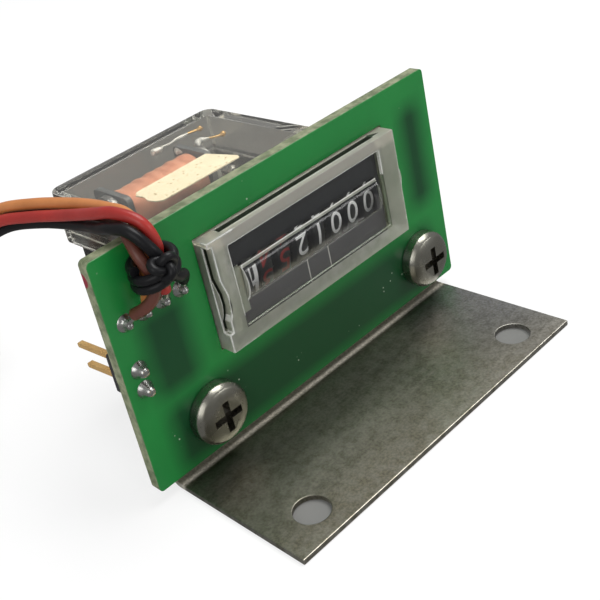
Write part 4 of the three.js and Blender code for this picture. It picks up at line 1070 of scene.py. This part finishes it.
# %% Solder joints
board_front = 15.3
pad_first_x, pad_z = -24.73, 23.35
pin_places = [(-24.85, 14.88), (-24.85, 17.42)]
lead_slump, side_share = 0.25, 0.4
fillet_profile = [(0.0, 1.02), (0.16, 1.0), (0.34, 0.86), (0.48, 0.62), (0.64, 0.38), (0.82, 0.2),
                  (1.0, 0.1), (1.06, 0.0)]
dome_profile = [(0.0, 1.36), (0.3, 1.34), (0.48, 1.24), (0.6, 1.0), (0.72, 0.66), (0.86, 0.34),
                (1.02, 0.12), (1.08, 0.0)]


def solder_joint(name, x, z, slump, profile):
    mesh = spun([(x + reach, board_front - height, z) for reach, height in profile], False,
                (x, board_front, z), (0, 1, 0), 28)
    rim = [edge for edge in mesh.edges if edge.is_boundary]
    bmesh.ops.contextual_create(mesh, geom=rim)
    for vert in mesh.verts:
        height = board_front * mm - vert.co.y
        vert.co.z -= slump * height
        vert.co.x += side_share * slump * height
    bmesh.ops.recalc_face_normals(mesh, faces=mesh.faces)
    dress(keep(mesh, name, "meter", 60), inner_finishes["tin"])


for index in range(4):
    solder_joint("lead_solder_%d" % (index + 1), pad_first_x + pin_pitch * index, pad_z,
                 lead_slump, fillet_profile)
for index, (x, z) in enumerate(pin_places):
    solder_joint("pin_solder_%d" % (index + 1), x, z, 0.0, dome_profile)
print("solder joints:", 4 + len(pin_places))

# %% Fine wires of the coil
fine_routes = {
    "fine_wire_1": ([(-2.3, 37.0, 27.8, 0.14), (-1.9, 37.2, 28.0, 0.46), (-1.0, 37.1, 28.0, 0.4),
                     (-0.4, 37.2, 28.1, 0.15), (0.8, 37.0, 28.1, 0.14), (2.0, 37.3, 28.1, 0.16),
                     (2.9, 37.4, 28.0, 0.26), (4.0, 37.2, 28.1, 0.14)], "coil_lead_1", "tin"),
    "fine_tip_1": ([(4.0, 37.2, 28.1, 0.14), (5.3, 37.0, 28.0, 0.16), (5.9, 36.9, 28.0, 0.4),
                    (6.3, 36.8, 27.9, 0.14)], None, "gold"),
    "fine_wire_2": ([(-0.5, 34.2, 27.6, 0.14), (-0.1, 34.4, 27.9, 0.5), (0.2, 33.4, 27.9, 0.42),
                     (0.3, 32.4, 27.8, 0.16), (1.2, 32.0, 27.9, 0.14), (2.0, 32.6, 27.9, 0.18),
                     (2.7, 33.6, 27.9, 0.44), (3.5, 34.1, 27.8, 0.36), (4.6, 33.6, 27.7, 0.14)],
                    "coil_lead_2", "tin"),
    "fine_tip_2": ([(4.6, 33.6, 27.7, 0.14), (5.9, 33.0, 27.6, 0.16), (6.5, 33.0, 27.6, 0.4),
                    (7.0, 33.1, 27.5, 0.15)], None, "gold"),
}
bright_solder = toned_finish("bright_solder", (0.85, 0.85, 0.83), (0.62, 0.62, 0.6), (0.25, 0.4),
                             900.0, depth=0.02, Metallic=0.35)
for name, (stations, stands_for, slot) in fine_routes.items():
    line = through([Vector(station[:3]) * mm for station in stations], line_steps)
    wire = round_wire(name, line, 0.1 * mm)
    for index, point in enumerate(wire.data.splines[0].points):
        station, share = divmod(index / line_steps, 1)
        now = stations[int(station)][3]
        after = stations[min(int(station) + 1, len(stations) - 1)][3]
        share = share * share * (3 - 2 * share)
        point.radius = (now + (after - now) * share) * mm
    if stands_for is not None:
        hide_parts(stands_for)
    dress(wire, bright_solder if slot == "tin" else inner_finishes["gold"])
print("fine wires:", len(fine_routes))

# %% [markdown]
# ## Floor, world and lamps
#
# The floor is plain and pale and keeps the shadow. Most of what the camera sees of it is its own
# pale light, mixed in for camera, mirror and see-through rays only, so it lights nothing. Under
# the foot a painted shade darkens it, so that the fixing holes look deep. Three soft lamps and an
# even sky give the studio light.

# %% Floor
floor_half = 1.5
floor_mesh = bmesh.new()
bmesh.ops.create_grid(floor_mesh, x_segments=1, y_segments=1, size=floor_half)
floor_data = bpy.data.meshes.new("floor")
floor_mesh.to_mesh(floor_data)
floor_mesh.free()
floor = new_object("floor", floor_data)

foot_outline = (-23.5, 23.5, -3.2, 15.0)
foot_soft = 0.5
material, tree, sockets = new_finish("pale_floor", Roughness=0.9)
seen = add_node(tree, "LightPath").outputs
direct = work_out(tree, "MAXIMUM", seen["Is Camera Ray"], seen["Is Transmission Ray"])
mirrored = spread(tree, seen["Is Glossy Ray"], 0, 1, 1.0, 0.22)
glow = add_node(tree, "Emission", Color=coloured(1, 1, 1), Strength=mirrored)
# Painted shade: under the foot the floor is darker and gives less of its own light.
painted_shade_under_foot = zone(tree, axes(tree), *foot_outline, foot_soft, "Y")
tree.links.new(lay_over(tree, coloured(0.88, 0.88, 0.87), (painted_shade_under_foot, (0.16, 0.16, 0.15))),
               sockets["Base Color"])
shaded = spread(tree, painted_shade_under_foot, 0, 1, 0.72, 0.03)
direct = work_out(tree, "MULTIPLY", direct, shaded)
mix_in(tree, work_out(tree, "MAXIMUM", direct, seen["Is Glossy Ray"]), glow)
dress(floor, material)

# %% World and lamps
world = bpy.data.worlds.new("studio")
world.use_nodes = True
scene.world = world
tree = world.node_tree
sky = tree.nodes["Background"]
sky.inputs["Color"].default_value = coloured(0.97, 0.98, 1.0)
seen = add_node(tree, "LightPath").outputs
lit = spread(tree, seen["Is Glossy Ray"], 0, 1, 0.6, 0.3)
tree.links.new(work_out(tree, "MAXIMUM", lit, seen["Is Camera Ray"]), sky.inputs["Strength"])


def soft_lamp(name, place, size, power):
    data = bpy.data.lights.new(name, "AREA")
    data.shape = "RECTANGLE"
    data.size, data.size_y = size
    data.energy = power
    lamp = new_object(name, data)
    lamp.location = place
    lamp.rotation_euler = (lit_point - Vector(place)).to_track_quat("-Z", "Y").to_euler()


lit_point = Vector((0, 0.01, 0.02))
soft_lamp("main_lamp", (0.25, -0.05, 0.55), (0.45, 0.35), 3.2)
soft_lamp("side_lamp", (-0.5, -0.25, 0.3), (0.4, 0.4), 0.9)
soft_lamp("front_lamp", (0.27, -0.40, 0.17), (0.3, 0.06), 0.25)
